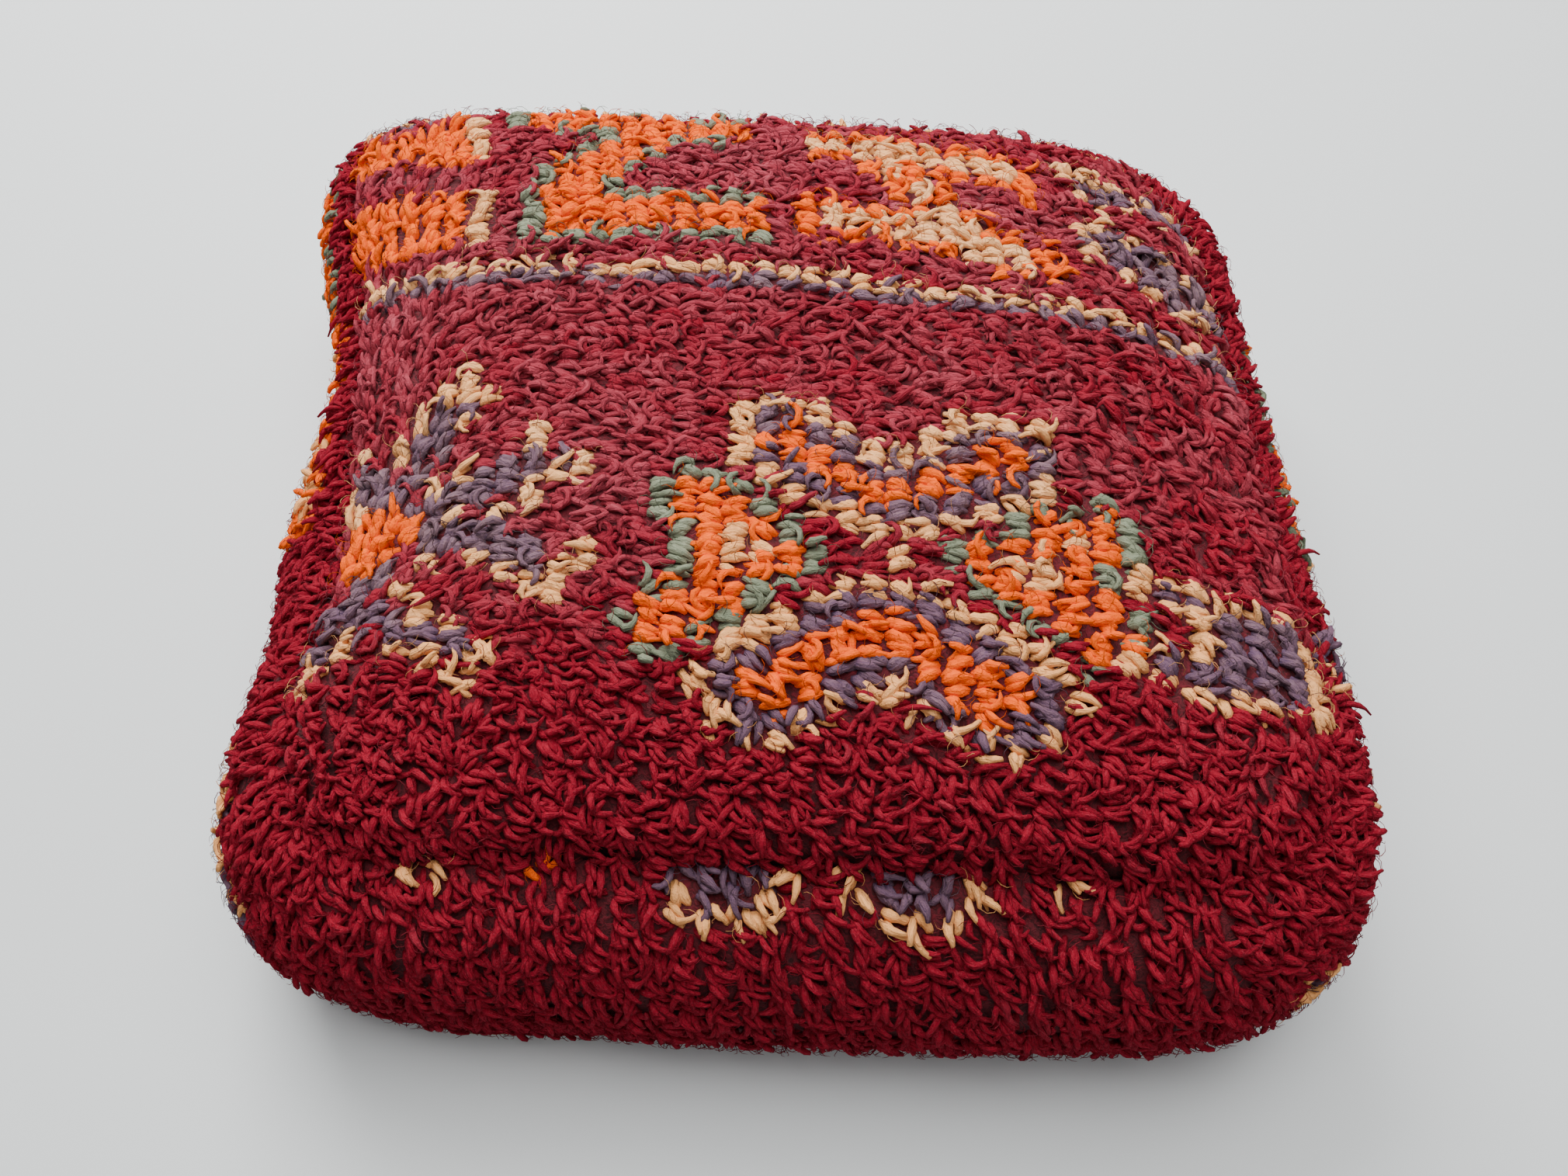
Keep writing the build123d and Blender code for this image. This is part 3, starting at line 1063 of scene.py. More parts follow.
@dataclass
class RugPattern:
    """Which yarn each knot of each panel is tied with."""

    top: KnotField = KnotField(Side.TOP, 38, 62)
    wall_rows: int = 22
    medallion: Point2 = (23.05, 19.5)
    star: Point2 = (3.0, 20.7)
    stripe_row: int = 41
    charts: dict[Side, np.ndarray] = field(default_factory=dict)
    fields: dict[Side, KnotField] = field(default_factory=dict)

    upper_wing = mirrored(
        ((0, 0.9), (2.4, 2.6), (4.5, 4.6), (6.0, 6.6), (6.3, 9.0), (5.4, 11.2), (3.9, 12.2), (2.4, 11.0),
         (1.2, 9.0), (0, 7.4)),
        ((Yarn.PEACH, 0.95), (Yarn.VIOLET, 1.15)),
        Yarn.ORANGE,
    )
    lower_wing = mirrored(
        ((0, -0.9), (2.2, -2.2), (4.2, -4.6), (6.2, -6.6), (6.9, -9.2), (5.6, -11.4), (3.8, -12.6),
         (2.2, -11.8), (1.1, -10.2), (0, -8.7)),
        ((Yarn.PEACH, 0.95), (Yarn.VIOLET, 1.15)),
        Yarn.ORANGE,
    )
    lobe = Figure(
        ((-1.6, -0.6), (-3.4, 2.0), (-5.2, 4.4), (-7.0, 5.8), (-8.8, 4.4), (-9.3, 2.4), (-8.0, 0.6),
         (-8.1, -1.9), (-9.7, -4.4), (-9.2, -6.6), (-7.6, -8.0), (-6.0, -6.0), (-4.4, -3.8)),
        ((Yarn.SAGE, 0.85), (Yarn.ORANGE, 1.6)),
        Yarn.PEACH,
    )
    zigzag = Figure(
        ((0, 0), (11.3, 0), (11.1, 4.8), (4.7, 5.0), (6.3, 8.4), (7.7, 11.2), (11.4, 11.4), (11.4, 16.0),
         (0.1, 16.8), (0.2, 12.4), (4.3, 12.2), (2.9, 9.4), (0, 5.4)),
        ((Yarn.SAGE, 0.95),),
        Yarn.ORANGE,
    )
    counter_zigzag = Figure(
        ((0, 0.4), (11.0, 0), (10.8, 3.2), (7.2, 6.0), (5.2, 8.8), (10.8, 8.0), (10.8, 11.8), (5.8, 13.2),
         (0.4, 14.0), (0.4, 10.2), (2.4, 9.2), (4.4, 5.8), (4.8, 4.8), (0, 4.8)),
        ((Yarn.ORANGE, 0.95),),
        Yarn.PEACH,
    )
    fish = Figure(
        ((0, 9.2), (2.2, 9.0), (4.7, 7.8), (6.9, 7.4), (6.9, -0.2), (4.7, 0), (2.3, 0.2), (0.1, 1.4),
         (0.1, 3.0), (2.1, 4.6), (2.3, 5.6), (0, 7.6)),
        ((Yarn.PEACH, 0.95),),
        Yarn.VIOLET,
    )
    upper_hook = Figure(
        ((0, 6.0), (2.2, 7.0), (6.4, 4.0), (6.4, 0), (4.0, 1.8), (1.6, 3.4)),
        ((Yarn.PEACH, 0.9),),
        Yarn.VIOLET,
    )
    lower_hook = Figure(
        ((0, 7.4), (1.4, 8.8), (3.8, 7.2), (6.4, 4.4), (6.4, 0), (3.6, 1.2), (0.8, 3.6), (0, 5.2)),
        ((Yarn.PEACH, 0.9),),
        Yarn.VIOLET,
    )
    tooth = Figure(
        ((-2.7, 0.6), (2.7, 0.6), (2.6, -1.2), (1.4, -2.6), (-0.3, -3.6), (-1.8, -2.4)),
        ((Yarn.PEACH, 0.9),),
        Yarn.VIOLET,
    )
    bar = Figure(((-1, 0), (7.2, 0), (7.2, 5.2), (-1, 5.2)), ((Yarn.CRIMSON, 0.0),), Yarn.ORANGE)
    bar_end = Figure(((5.6, 0), (7.3, 0), (7.3, 5.4), (5.6, 5.4)), (), Yarn.PEACH)
    star_arms = (
        ((0.6, 2.6), (1.8, 6.0), (3.2, 9.4)),
        ((1.6, 1.0), (4.2, 2.4), (7.0, 5.0)),
        ((2.6, -0.2), (5.2, -0.6), (6.8, -2.8)),
        ((0.0, -2.4), (-0.4, -4.6), (-2.0, -7.6)),
        ((-0.2, -4.8), (1.8, -6.8), (3.4, -8.8)),
        ((0.0, 2.6), (-1.4, 5.2)),
    )
    star_tips = ((3.6, 10.8), (8.4, 4.4), (8.2, -2.6), (6.9, -4.8), (-2.6, -9.2), (4.8, -9.4), (4.6, -10.6))
    lozenge = Figure(((-2.6, -1.6), (-0.6, -3.0), (1.9, -0.4), (1.0, 2.6), (-1.2, 2.0)), (), Yarn.ORANGE)

    def build(self) -> None:
        """Draws every panel's chart."""
        for side in Side:
            rows = self.top.rows if side is Side.TOP else self.wall_rows
            knots = KnotField(side, self.top.columns, rows)
            self.fields[side] = knots
            self.charts[side] = np.full((knots.columns, knots.rows), YARNS.index(Yarn.CRIMSON))
        self._draw_top()
        self._draw_walls()

    def _star(self, side: Side, across: float, up: float, flip: bool = False) -> None:
        """Draws the branching star with its orange middle.

        Args:
            side: which panel.
            across: the star's column.
            up: the star's row.
            flip: whether it is turned over.
        """
        chart, (column, row) = self.charts[side], self.fields[side].centres()
        for arm in self.star_arms:
            Branch(arm).moved(across, up, flip).paint(chart, column, row)
        for tip_x, tip_y in self.star_tips:
            away = np.hypot(column - across - (-tip_x if flip else tip_x), (row - up - tip_y) * 0.7)
            chart[away < 0.75] = YARNS.index(Yarn.PEACH)
        self.lozenge.moved(across, up, flip).paint(chart, column, row)
        middle = (np.abs(column - across) < 0.5) & (np.abs(row - up) < 0.5)
        chart[middle] = YARNS.index(Yarn.SAGE)

    def _draw(
        self, side: Side, figure: Figure, across: float, up: float, flip_x: bool = False, flip_y: bool = False
    ) -> None:
        """Draws one figure on one panel."""
        column, row = self.fields[side].centres()
        figure.moved(across, up, flip_x, flip_y).paint(self.charts[side], column, row)

    def _draw_top(self) -> None:
        """The medallion, the figures beside it, the stripe and the back band."""
        chart = self.charts[Side.TOP]
        across, up = self.medallion
        self._draw(Side.TOP, self.lobe, across, up)
        self._draw(Side.TOP, self.lobe, across, up + 0.6, flip_x=True)
        self._draw(Side.TOP, self.upper_wing, across, up)
        self._draw(Side.TOP, self.lower_wing, across, up)
        chart[int(across), int(up)] = YARNS.index(Yarn.PEACH)
        self._star(Side.TOP, *self.star)
        self._draw(Side.TOP, self.fish, 31.3, 11.8)
        chart[:, self.stripe_row] = YARNS.index(Yarn.PEACH)
        chart[:, self.stripe_row - 1] = YARNS.index(Yarn.VIOLET)
        self._draw(Side.TOP, self.zigzag, 8.1, 44.2)
        self._draw(Side.TOP, self.counter_zigzag, 20.2, 44.4)
        for row in (44.4, 53.6):
            self._draw(Side.TOP, self.bar, 0.0, row)
            self._draw(Side.TOP, self.bar_end, 0.0, row)
        chart[1:5, 60:] = YARNS.index(Yarn.VIOLET)
        self._draw(Side.TOP, self.upper_hook, 31.8, 51.6)
        self._draw(Side.TOP, self.lower_hook, 31.8, 43.2)

    def _draw_walls(self) -> None:
        """The parts of figures that the box sides were cut with."""
        high = self.wall_rows
        for across in (18.1, 24.2):
            self._draw(Side.FRONT, self.tooth, across, high)
        for across, yarn in ((6.2, Yarn.PEACH), (7.4, Yarn.PEACH), (11.5, Yarn.ORANGE), (29.5, Yarn.PEACH)):
            self.charts[Side.FRONT][int(across), high - 1] = YARNS.index(yarn)
        self._draw(Side.FRONT, self.fish, 36.0, 5.0)
        peach_zigzag = replace(self.zigzag, borders=((Yarn.ORANGE, 1.6),), core=Yarn.PEACH)
        self._draw(Side.LEFT, self.zigzag, 1.5, 3.0)
        self._draw(Side.LEFT, peach_zigzag, 12.0, 3.0)
        self._draw(Side.LEFT, self.fish, 31.5, 7.5)
        self._star(Side.RIGHT, 9.0, 11.0)
        self._draw(Side.RIGHT, self.zigzag, 17.0, 3.0)
        self._draw(Side.RIGHT, self.fish, 36.0, 6.0, flip_x=True)
        self._star(Side.BACK, 8.0, 11.0)
        self._draw(Side.BACK, self.lobe, 22.0, 12.0)
        self._draw(Side.BACK, self.lobe, 21.0, 12.0, flip_x=True)
        self._draw(Side.BACK, self.fish, 32.0, 6.0)
        self.charts[Side.BACK][:, high - 1] = YARNS.index(Yarn.PEACH)


# ---------------------------------------------------------------- tufts


@dataclass(frozen=True)
class StrandShape:
    """How one cut end of yarn leaves its knot and bends over."""

    name: str
    length: float
    lift: Point2
    turn: Point2
    radius: float
    fall: float = 1.6
    blunt: float = 0.58
    felting: float = 0.55
    rings: int = 6
    sides: int = 6

    def build(self) -> bpy.types.Mesh:
        """A closed tube that follows the bend, from the root at the origin.

        Returns:
            Its mesh, with the share along and around it in the UV map strand.
        """
        bm = bmesh.new()
        ring_of = bm.verts.layers.int.new("ring")
        spot_of = bm.verts.layers.int.new("spot")
        place, previous = Vector((0, 0, 0)), []
        last = self.rings - 1
        for ring in range(self.rings):
            share = ring / last
            lift = math.radians(self.lift[1] + (self.lift[0] - self.lift[1]) * (1 - share) ** self.fall)
            turn = math.radians(self.turn[0] + (self.turn[1] - self.turn[0]) * share)
            level = math.cos(lift)
            heading = Vector((level * math.cos(turn), level * math.sin(turn), math.sin(lift)))
            swell = 0.72 + 0.34 * math.sin(math.pi * min(share * 1.15, 1.0)) if ring < last else self.blunt
            sideways = Vector((0, 0, 1)).cross(heading).normalized()
            over = heading.cross(sideways)
            basis = Matrix((sideways, over, heading)).transposed().to_4x4()
            made = bmesh.ops.create_circle(
                bm,
                segments=self.sides,
                radius=self.radius * swell,
                matrix=Matrix.Translation(place) @ basis,
            )
            for spot, vert in enumerate(made["verts"]):
                vert[ring_of], vert[spot_of] = ring, spot
            edges = list({edge for vert in made["verts"] for edge in vert.link_edges})
            if previous:
                bmesh.ops.bridge_loops(bm, edges=previous + edges)
            previous = edges
            place = place + heading * (self.length / last)
        bmesh.ops.contextual_create(bm, geom=previous)
        tip = [face for face in bm.faces if len(face.verts) == self.sides]
        bmesh.ops.poke(bm, faces=tip, offset=self.radius * 0.35)
        bmesh.ops.recalc_face_normals(bm, faces=bm.faces)
        bm.normal_update()
        for vert in bm.verts:
            lump = noise.noise(vert.co * 210.0 + Vector((len(self.name), self.length * 900.0, self.turn[1])))
            vert.co += vert.normal * self.radius * self.felting * lump
        self._lay_out(bm, ring_of, spot_of)
        return mesh_of(bm, self.name)

    def _lay_out(self, bm: bmesh.types.BMesh, ring_of: object, spot_of: object) -> None:
        """Gives each face corner its share along and around the strand.

        Args:
            bm: the bmesh to write.
            ring_of: which ring each corner is on.
            spot_of: which spot of its ring it is.
        """
        uv = bm.loops.layers.uv.new("strand")
        for face in bm.faces:
            spots = [loop.vert[spot_of] for loop in face.loops]
            wraps = max(spots) - min(spots) > self.sides // 2
            for loop, spot in zip(face.loops, spots):
                around = (spot + self.sides if wraps and spot < self.sides // 2 else spot) / self.sides
                tip = len(face.verts) == 3 and loop.vert[ring_of] == 0
                along = 1.0 if tip else 0.96 * loop.vert[ring_of] / (self.rings - 1)
                loop[uv].uv = (along, around)


class Lie(Enum):
    """The ways a tuft of the pile lies."""

    PAD = "pad"
    WAVE = "wave"
    PETAL = "petal"
    CURL = "curl"
    STRAY = "stray"
    FUZZ = "fuzz"


STRANDS: dict[Lie, tuple[StrandShape, ...]] = {
    Lie.PAD: (
        StrandShape("pad_a", 14.5 * MM, (50, -42), (0, 10), 2.8 * MM),
        StrandShape("pad_b", 15.0 * MM, (46, -36), (8, -16), 2.7 * MM),
        StrandShape("pad_c", 14.0 * MM, (52, -46), (-10, 14), 3.0 * MM),
        StrandShape("pad_d", 15.5 * MM, (44, -34), (-12, -2), 2.6 * MM),
    ),
    Lie.WAVE: (
        StrandShape("wave_a", 15.5 * MM, (42, -26), (-16, 20), 2.3 * MM, sides=5),
        StrandShape("wave_b", 14.5 * MM, (38, -20), (18, -22), 2.1 * MM, sides=5),
        StrandShape("wave_c", 16.5 * MM, (44, -30), (6, 34), 2.2 * MM, sides=5),
        StrandShape("wave_d", 14.0 * MM, (38, -16), (-8, -34), 2.4 * MM, sides=5),
    ),
    Lie.PETAL: (
        StrandShape("petal_a", 16.5 * MM, (70, -10), (-6, 20), 2.3 * MM, 1.3, sides=5),
        StrandShape("petal_b", 18.0 * MM, (64, -20), (14, -34), 2.1 * MM, 1.3, sides=5),
        StrandShape("petal_c", 15.5 * MM, (72, 2), (-20, 12), 2.4 * MM, 1.1, sides=5),
        StrandShape("petal_d", 19.0 * MM, (62, -26), (-12, 54), 2.1 * MM, 1.4, sides=5),
    ),
    Lie.CURL: (
        StrandShape("curl_a", 19.0 * MM, (50, -18), (-30, 150), 2.1 * MM, sides=5),
        StrandShape("curl_b", 18.0 * MM, (54, -14), (20, -160), 2.2 * MM, sides=5),
        StrandShape("curl_c", 20.0 * MM, (48, -2), (-10, 190), 2.0 * MM, sides=5),
    ),
    Lie.STRAY: (
        StrandShape("stray_a", 23.0 * MM, (50, -12), (-10, 34), 1.5 * MM, 1.5, 0.45),
        StrandShape("stray_b", 26.0 * MM, (46, -14), (20, -28), 1.4 * MM, 1.4, 0.4),
    ),
    Lie.FUZZ: (
        StrandShape("fuzz_a", 13.0 * MM, (70, -30), (-40, 90), 0.24 * MM, 1.2, 0.4, 0.0, 5, 3),
        StrandShape("fuzz_b", 12.0 * MM, (80, -10), (30, -110), 0.22 * MM, 1.2, 0.4, 0.0, 5, 3),
        StrandShape("fuzz_c", 15.0 * MM, (60, -40), (0, 160), 0.22 * MM, 1.2, 0.4, 0.0, 5, 3),
    ),
}


class TuftKit:
    """The strand meshes, and the node tree that plants them on points."""

    def __init__(self) -> None:
        """Builds the strands in a collection that stays out of the scene."""
        self.collection = bpy.data.collections.new("strand_kit")
        self.index: dict[Lie, list[int]] = {}
        self.objects: list[bpy.types.Object] = []
        number = 0
        for lie, shapes in STRANDS.items():
            self.index[lie] = []
            for shape in shapes:
                obj = bpy.data.objects.new(f"strand_{number:02d}", shape.build())
                self.collection.objects.link(obj)
                self.objects.append(obj)
                self.index[lie].append(number)
                number += 1
        self.tree = self._planter()

    def _planter(self) -> bpy.types.NodeTree:
        """Geometry nodes that put a chosen strand on each point, turned and sized.

        Returns:
            The node group.
        """
        tree = bpy.data.node_groups.new("plant_tufts", "GeometryNodeTree")
        tree.interface.new_socket("Geometry", in_out="INPUT", socket_type="NodeSocketGeometry")
        tree.interface.new_socket("Geometry", in_out="OUTPUT", socket_type="NodeSocketGeometry")
        new, wire = tree.nodes.new, tree.links.new
        given, out = new("NodeGroupInput"), new("NodeGroupOutput")
        points = new("GeometryNodeMeshToPoints")
        plant = new("GeometryNodeInstanceOnPoints")
        whole = new("GeometryNodeRealizeInstances")
        kit = new("GeometryNodeCollectionInfo")
        kit.inputs["Collection"].default_value = self.collection
        kit.inputs["Separate Children"].default_value = True
        kit.inputs["Reset Children"].default_value = True
        plant.inputs["Pick Instance"].default_value = True
        wire(given.outputs[0], points.inputs["Mesh"])
        wire(points.outputs[0], plant.inputs["Points"])
        wire(kit.outputs[0], plant.inputs["Instance"])
        for name, kind, socket in (
            ("shape", "INT", "Instance Index"),
            ("facing", "QUATERNION", "Rotation"),
            ("size", "FLOAT_VECTOR", "Scale"),
        ):
            read = new("GeometryNodeInputNamedAttribute")
            read.data_type = kind
            read.inputs["Name"].default_value = name
            wire(read.outputs["Attribute"], plant.inputs[socket])
        wire(plant.outputs[0], whole.inputs[0])
        wire(whole.outputs[0], out.inputs[0])
        return tree

    def plant(self, name: str, tufts: list["Tuft"]) -> bpy.types.Object:
        """Plants tufts and applies the result.

        Args:
            name: the piece's name.
            tufts: the tufts to plant.

        Returns:
            The pile piece, with one bake cell for each strand.
        """
        bm = bmesh.new()
        for tuft in tufts:
            bm.verts.new(tuft.root)
        mesh = mesh_of(bm, name)
        count = len(tufts)
        for label, kind, slot, values in (
            ("shape", "INT", "value", [t.shape for t in tufts]),
            ("number", "INT", "value", list(range(count))),
            ("tone", "FLOAT", "value", [t.tone for t in tufts]),
            ("facing", "QUATERNION", "value", [c for t in tufts for c in t.facing]),
            ("size", "FLOAT_VECTOR", "vector", [c for t in tufts for c in t.size]),
        ):
            mesh.attributes.new(label, kind, "POINT").data.foreach_set(slot, values)
        obj = link(bpy.data.objects.new(name, mesh))
        obj.modifiers.new("tufts", "NODES").node_group = self.tree
        planted = settled(obj)
        discard(obj)
        places = np.zeros(len(planted.vertices) * 3)
        planted.vertices.foreach_get("co", places)
        places[2::3] = np.maximum(places[2::3], FLOOR_GAP)
        planted.vertices.foreach_set("co", places)
        self._bake_cells(planted, count)
        for label in ("shape", "facing", "size", "number", "ring", "spot"):
            if label in planted.attributes:
                planted.attributes.remove(planted.attributes[label])
        return new_piece(name, planted)

    @staticmethod
    def _bake_cells(mesh: bpy.types.Mesh, count: int) -> None:
        """Lays each strand's share along and around into a square of its own.

        Args:
            mesh: the planted strands' mesh.
            count: how many strands it holds.
        """
        loops = len(mesh.loops)
        verts = np.zeros(loops, np.int32)
        mesh.loops.foreach_get("vertex_index", verts)
        number = np.zeros(len(mesh.vertices), np.int32)
        mesh.attributes["number"].data.foreach_get("value", number)
        shares = np.zeros(loops * 2, np.float32)
        mesh.uv_layers["strand"].data.foreach_get("uv", shares)
        side = math.ceil(math.sqrt(count))
        cell = number[verts]
        corner = np.stack((cell % side, cell // side), axis=1)
        margin = 0.08
        squares = (corner + margin + np.clip(shares.reshape(-1, 2), 0, 1.2) / 1.2 * (1 - 2 * margin)) / side
        mesh.uv_layers.new(name="OFBake").data.foreach_set("uv", squares.astype(np.float32).ravel())

    def put_away(self) -> None:
        """Removes the strand kit once everything is planted."""
        for obj in self.objects:
            discard(obj)
        bpy.data.collections.remove(self.collection)
        bpy.data.node_groups.remove(self.tree)


@dataclass
class Tuft:
    """One strand to plant."""

    root: Vector
    facing: Quaternion
    size: tuple[float, float, float]
    shape: int
    tone: float


@dataclass
class Pile:
    """The knotted pile of one rug panel."""

    grid: SheetGrid
    knots: KnotField
    chart: np.ndarray
    kit: TuftKit
    seed: int
    most_strands: int = 2300
    hem_share: float = 0.04

    def _lay(self, u: float, v: float, dice: random.Random) -> tuple[float, float]:
        """Which way the pile lies at a spot.

        Args:
            u: share across the panel.
            v: share up the panel.
            dice: the panel's random source.

        Returns:
            The angle from the across direction, in degrees, and how loose it is, 0 to 1.
        """
        if self.grid.side is not Side.TOP:
            low = float(smooth_step(0.22, 0.06, v))
            return -62 * (1 - low) + dice.gauss(0, 26 * (1 - 0.7 * low)), 0.75
        squeezed = float(smooth_step(0.24, 0.07, u) * smooth_step(0.18, 0.36, v))
        front = float(smooth_step(0.27, 0.06, v))
        right = float(smooth_step(0.72, 0.95, u))
        base = -34 * right - 42 * front * dice.uniform(0.3, 1.4)
        angle = base * (1 - squeezed) + 84 * squeezed + dice.gauss(0, 13 + 22 * front)
        if squeezed < 0.5 and dice.random() < 0.42 * (1 - front):
            angle += 180
        return angle, max(front, 0.35 * right, 0.12)

    def _fade_and_painted_light(self, place: Vector) -> float:
        """How far a place is paled, by sun fading and by painted light where light falls: the crown most, the
        front and the walls least.

        Args:
            place: a place on the cover.

        Returns:
            The fading with its painted light, from 0 up.
        """
        if self.grid.side is not Side.TOP:
            return -0.75
        return 0.4 - 1.15 * float(smooth_step(0.02, -0.23, place.y))

    def tufts(self) -> dict[Yarn, list[Tuft]]:
        """Ties every knot.

        Returns:
            The strands of each yarn.
        """
        dice = random.Random(self.seed)
        column, row = self.knots.centres()
        u, v = column / self.knots.columns, row / self.knots.rows
        if self.grid.side is not Side.TOP:
            v = self.hem_share + (1 - self.hem_share) * v
        places, across, up, out = self.grid.at(u, v)
        found: dict[Yarn, list[Tuft]] = {yarn: [] for yarn in Yarn}
        cell_u = self.grid.across_m / self.knots.columns
        cell_v = self.grid.up_m / self.knots.rows
        for i in range(self.knots.columns):
            for j in range(self.knots.rows):
                yarn = YARNS[int(self.chart[i, j])]
                frame = [Vector(table[i, j]) for table in (places, across, up, out)]
                angle, loose = self._lay(u[i, j], v[i, j], dice)
                found[yarn] += self._knot(yarn, frame, (cell_u, cell_v), angle, loose, dice)
        return found

    def _knot(
        self, yarn: Yarn, frame: list[Vector], cell: Point2, angle: float, loose: float, dice: random.Random
    ) -> list[Tuft]:
        """The strands of one knot.

        Args:
            yarn: its wool.
            frame: place, across, up and out directions.
            cell: the knot's size across and up, in metres.
            angle: the lie of its pile, in degrees.
            loose: how upright and curly it is, 0 to 1.
            dice: the panel's random source.

        Returns:
            Two or three strands, and now and then a stray one.
        """
        place, across, up, out = frame
        plain = yarn is Yarn.CRIMSON
        # The tone is random plus the place's sun fading, which also paints the top lighter where light falls.
        tone = dice.uniform(-0.32, 0.32) + self._fade_and_painted_light(place)
        strands = []
        count = dice.choice((4, 5, 5)) if plain else 3
        heading = (across * math.cos(math.radians(angle)) + up * math.sin(math.radians(angle))).normalized()
        spread = out.cross(heading).normalized()
        lies = self._lies(plain, loose)
        for strand in range(count):
            lie = dice.choices(list(lies), weights=list(lies.values()))[0]
            swing = math.radians(dice.gauss(0, 9 + 18 * loose))
            way = (heading * math.cos(swing) + spread * math.sin(swing)).normalized()
            offset = (strand - (count - 1) / 2) * cell[1] * 1.1 / count + dice.gauss(0, 0.8 * MM)
            set_back = 0.40 if lie in (Lie.PAD, Lie.WAVE) else 0.18
            back = -cell[0] * set_back + dice.gauss(0, 2.4 * MM if plain else 1.0 * MM)
            root = place + spread * offset + heading * back - out * dice.uniform(0.2, 2.2) * MM
            thick = dice.uniform(0.80, 1.10) * (0.96 if plain else 1.08)
            long = dice.uniform(0.84, 1.08)
            size = (long, thick, thick * dice.uniform(0.8, 1.0))
            strands.append(self._tuft(root, way, out, size, lie, tone, dice))
        for _ in range(2):
            root = place + across * dice.gauss(0, 4 * MM) + up * dice.gauss(0, 3 * MM) + out * 3 * MM
            swing = math.radians(dice.uniform(0, 360))
            way = across * math.cos(swing) + up * math.sin(swing)
            strands.append(self._tuft(root, way, out, (1, 1, 1), Lie.FUZZ, tone + 0.5, dice))
        if dice.random() < 0.012:
            strands.append(self._tuft(place, heading, out, (1, 1, 1), Lie.STRAY, tone, dice))
        return strands

    @staticmethod
    def _lies(plain: bool, loose: float) -> dict[Lie, float]:
        """How often each lie is found, for a plain or figured knot.

        Args:
            plain: whether the knot is plain crimson.
            loose: the share of loose strands.

        Returns:
            Each lie with its share.
        """
        tidy = 1 - loose
        if plain:
            return {Lie.PAD: 0.25 * tidy, Lie.WAVE: 0.75 * tidy + 0.1, Lie.PETAL: 0.9 * loose, Lie.CURL: 0.16}
        return {Lie.PAD: 0.8 * tidy, Lie.WAVE: 0.2, Lie.PETAL: 0.6 * loose, Lie.CURL: 0.10}

    def _tuft(
        self, root: Vector, way: Vector, out: Vector, size: tuple[float, float, float], lie: Lie, tone: float,
        dice: random.Random,
    ) -> Tuft:
        """One strand at a root, leaning along way.

        Args:
            root: where the strand starts.
            way: the way it leans.
            out: the way out of the cover.
            size: its length and two thicknesses.
            lie: the way it lies.
            tone: how sun-bleached it is, and the painted light of the top.
            dice: the seeded random numbers.

        Returns:
            The strand.
        """
        side = out.cross(way).normalized()
        forward = side.cross(out)
        facing = Matrix((forward, side, out)).transposed().to_quaternion()
        shape = dice.choice(self.kit.index[lie])
        return Tuft(root, facing, size, shape, max(-1.0, min(1.0, tone + dice.uniform(-0.18, 0.18))))

    def dress(self, wools: dict[Yarn, bpy.types.Material]) -> list[bpy.types.Object]:
        """Plants the panel's pile.

        Args:
            wools: the material of each yarn.

        Returns:
            Its pile pieces, one or more for each yarn.
        """
        pieces = []
        for yarn, tufts in self.tufts().items():
            parts = max(1, math.ceil(len(tufts) / self.most_strands))
            for part in range(parts):
                share = tufts[part * len(tufts) // parts : (part + 1) * len(tufts) // parts]
                if not share:
                    continue
                name = f"{self.grid.side.value}_{yarn.value}_pile_{part + 1}"
                piece = self.kit.plant(name, share)
                piece.data.materials.clear()
                piece.data.materials.append(wools[yarn])
                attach(piece, "cover")
                pieces.append(piece)
        return pieces


# ---------------------------------------------------------------- inside and underneath


@dataclass
class InnerCushion:
    """The calico bag and the fibre in it."""

    cover: RugCover
    bag_depth: float = 0.007
    fill_depth: float = 0.011
    lumps: float = 0.004

    def _shrunk(self, name: str, depth: float, lumps: float) -> bpy.types.Object:
        """The cover's form pulled in by a depth, with fibre lumps.

        Args:
            name: its name.
            depth: how far it is pulled in.
            lumps: the height of the fibre lumps.

        Returns:
            The new piece.
        """
        mesh = self.cover.form.copy()
        mesh.attributes.remove(mesh.attributes["flat"])
        count = len(mesh.vertices)
        co, out = np.zeros(count * 3), np.zeros(count * 3)
        mesh.vertices.foreach_get("co", co)
        mesh.vertex_normals.foreach_get("vector", out)
        co, out = co.reshape(-1, 3), out.reshape(-1, 3)
        bumps = np.array([noise.noise(Vector(p) * 22.0) for p in co])
        co = co - out * (depth + lumps * (bumps + 1))[:, None]
        tunnel = smooth_step(0.045, 0.02, np.abs(co[:, 1])) * smooth_step(0.262, 0.24, np.abs(co[:, 0]))
        floor = 0.004 + depth * 0.4 + tunnel * 0.008
        co[:, 2] = np.maximum(co[:, 2], floor)
        mesh.vertices.foreach_set("co", co.ravel())
        mesh.update()
        return new_piece(name, mesh)

    def dress(self, calico: bpy.types.Material, stuffing: bpy.types.Material) -> list[bpy.types.Object]:
        """Makes the bag and its filling.

        Args:
            calico: the bag's cloth.
            stuffing: the filling's fibre.

        Returns:
            The new pieces.
        """
        pieces = []
        for name, depth, lumps, node, slot, finish in (
            ("inner_bag_calico", self.bag_depth, 0.0, "inner_bag", "bag_calico", calico),
            ("fibre_filling", self.fill_depth, self.lumps, "filling", "fibre_filling", stuffing),
        ):
            piece = self._shrunk(name, depth, lumps)
            piece.data.materials.append(finish)
            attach(piece, "cover")
            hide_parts(node)
            pieces.append(piece)
        return pieces


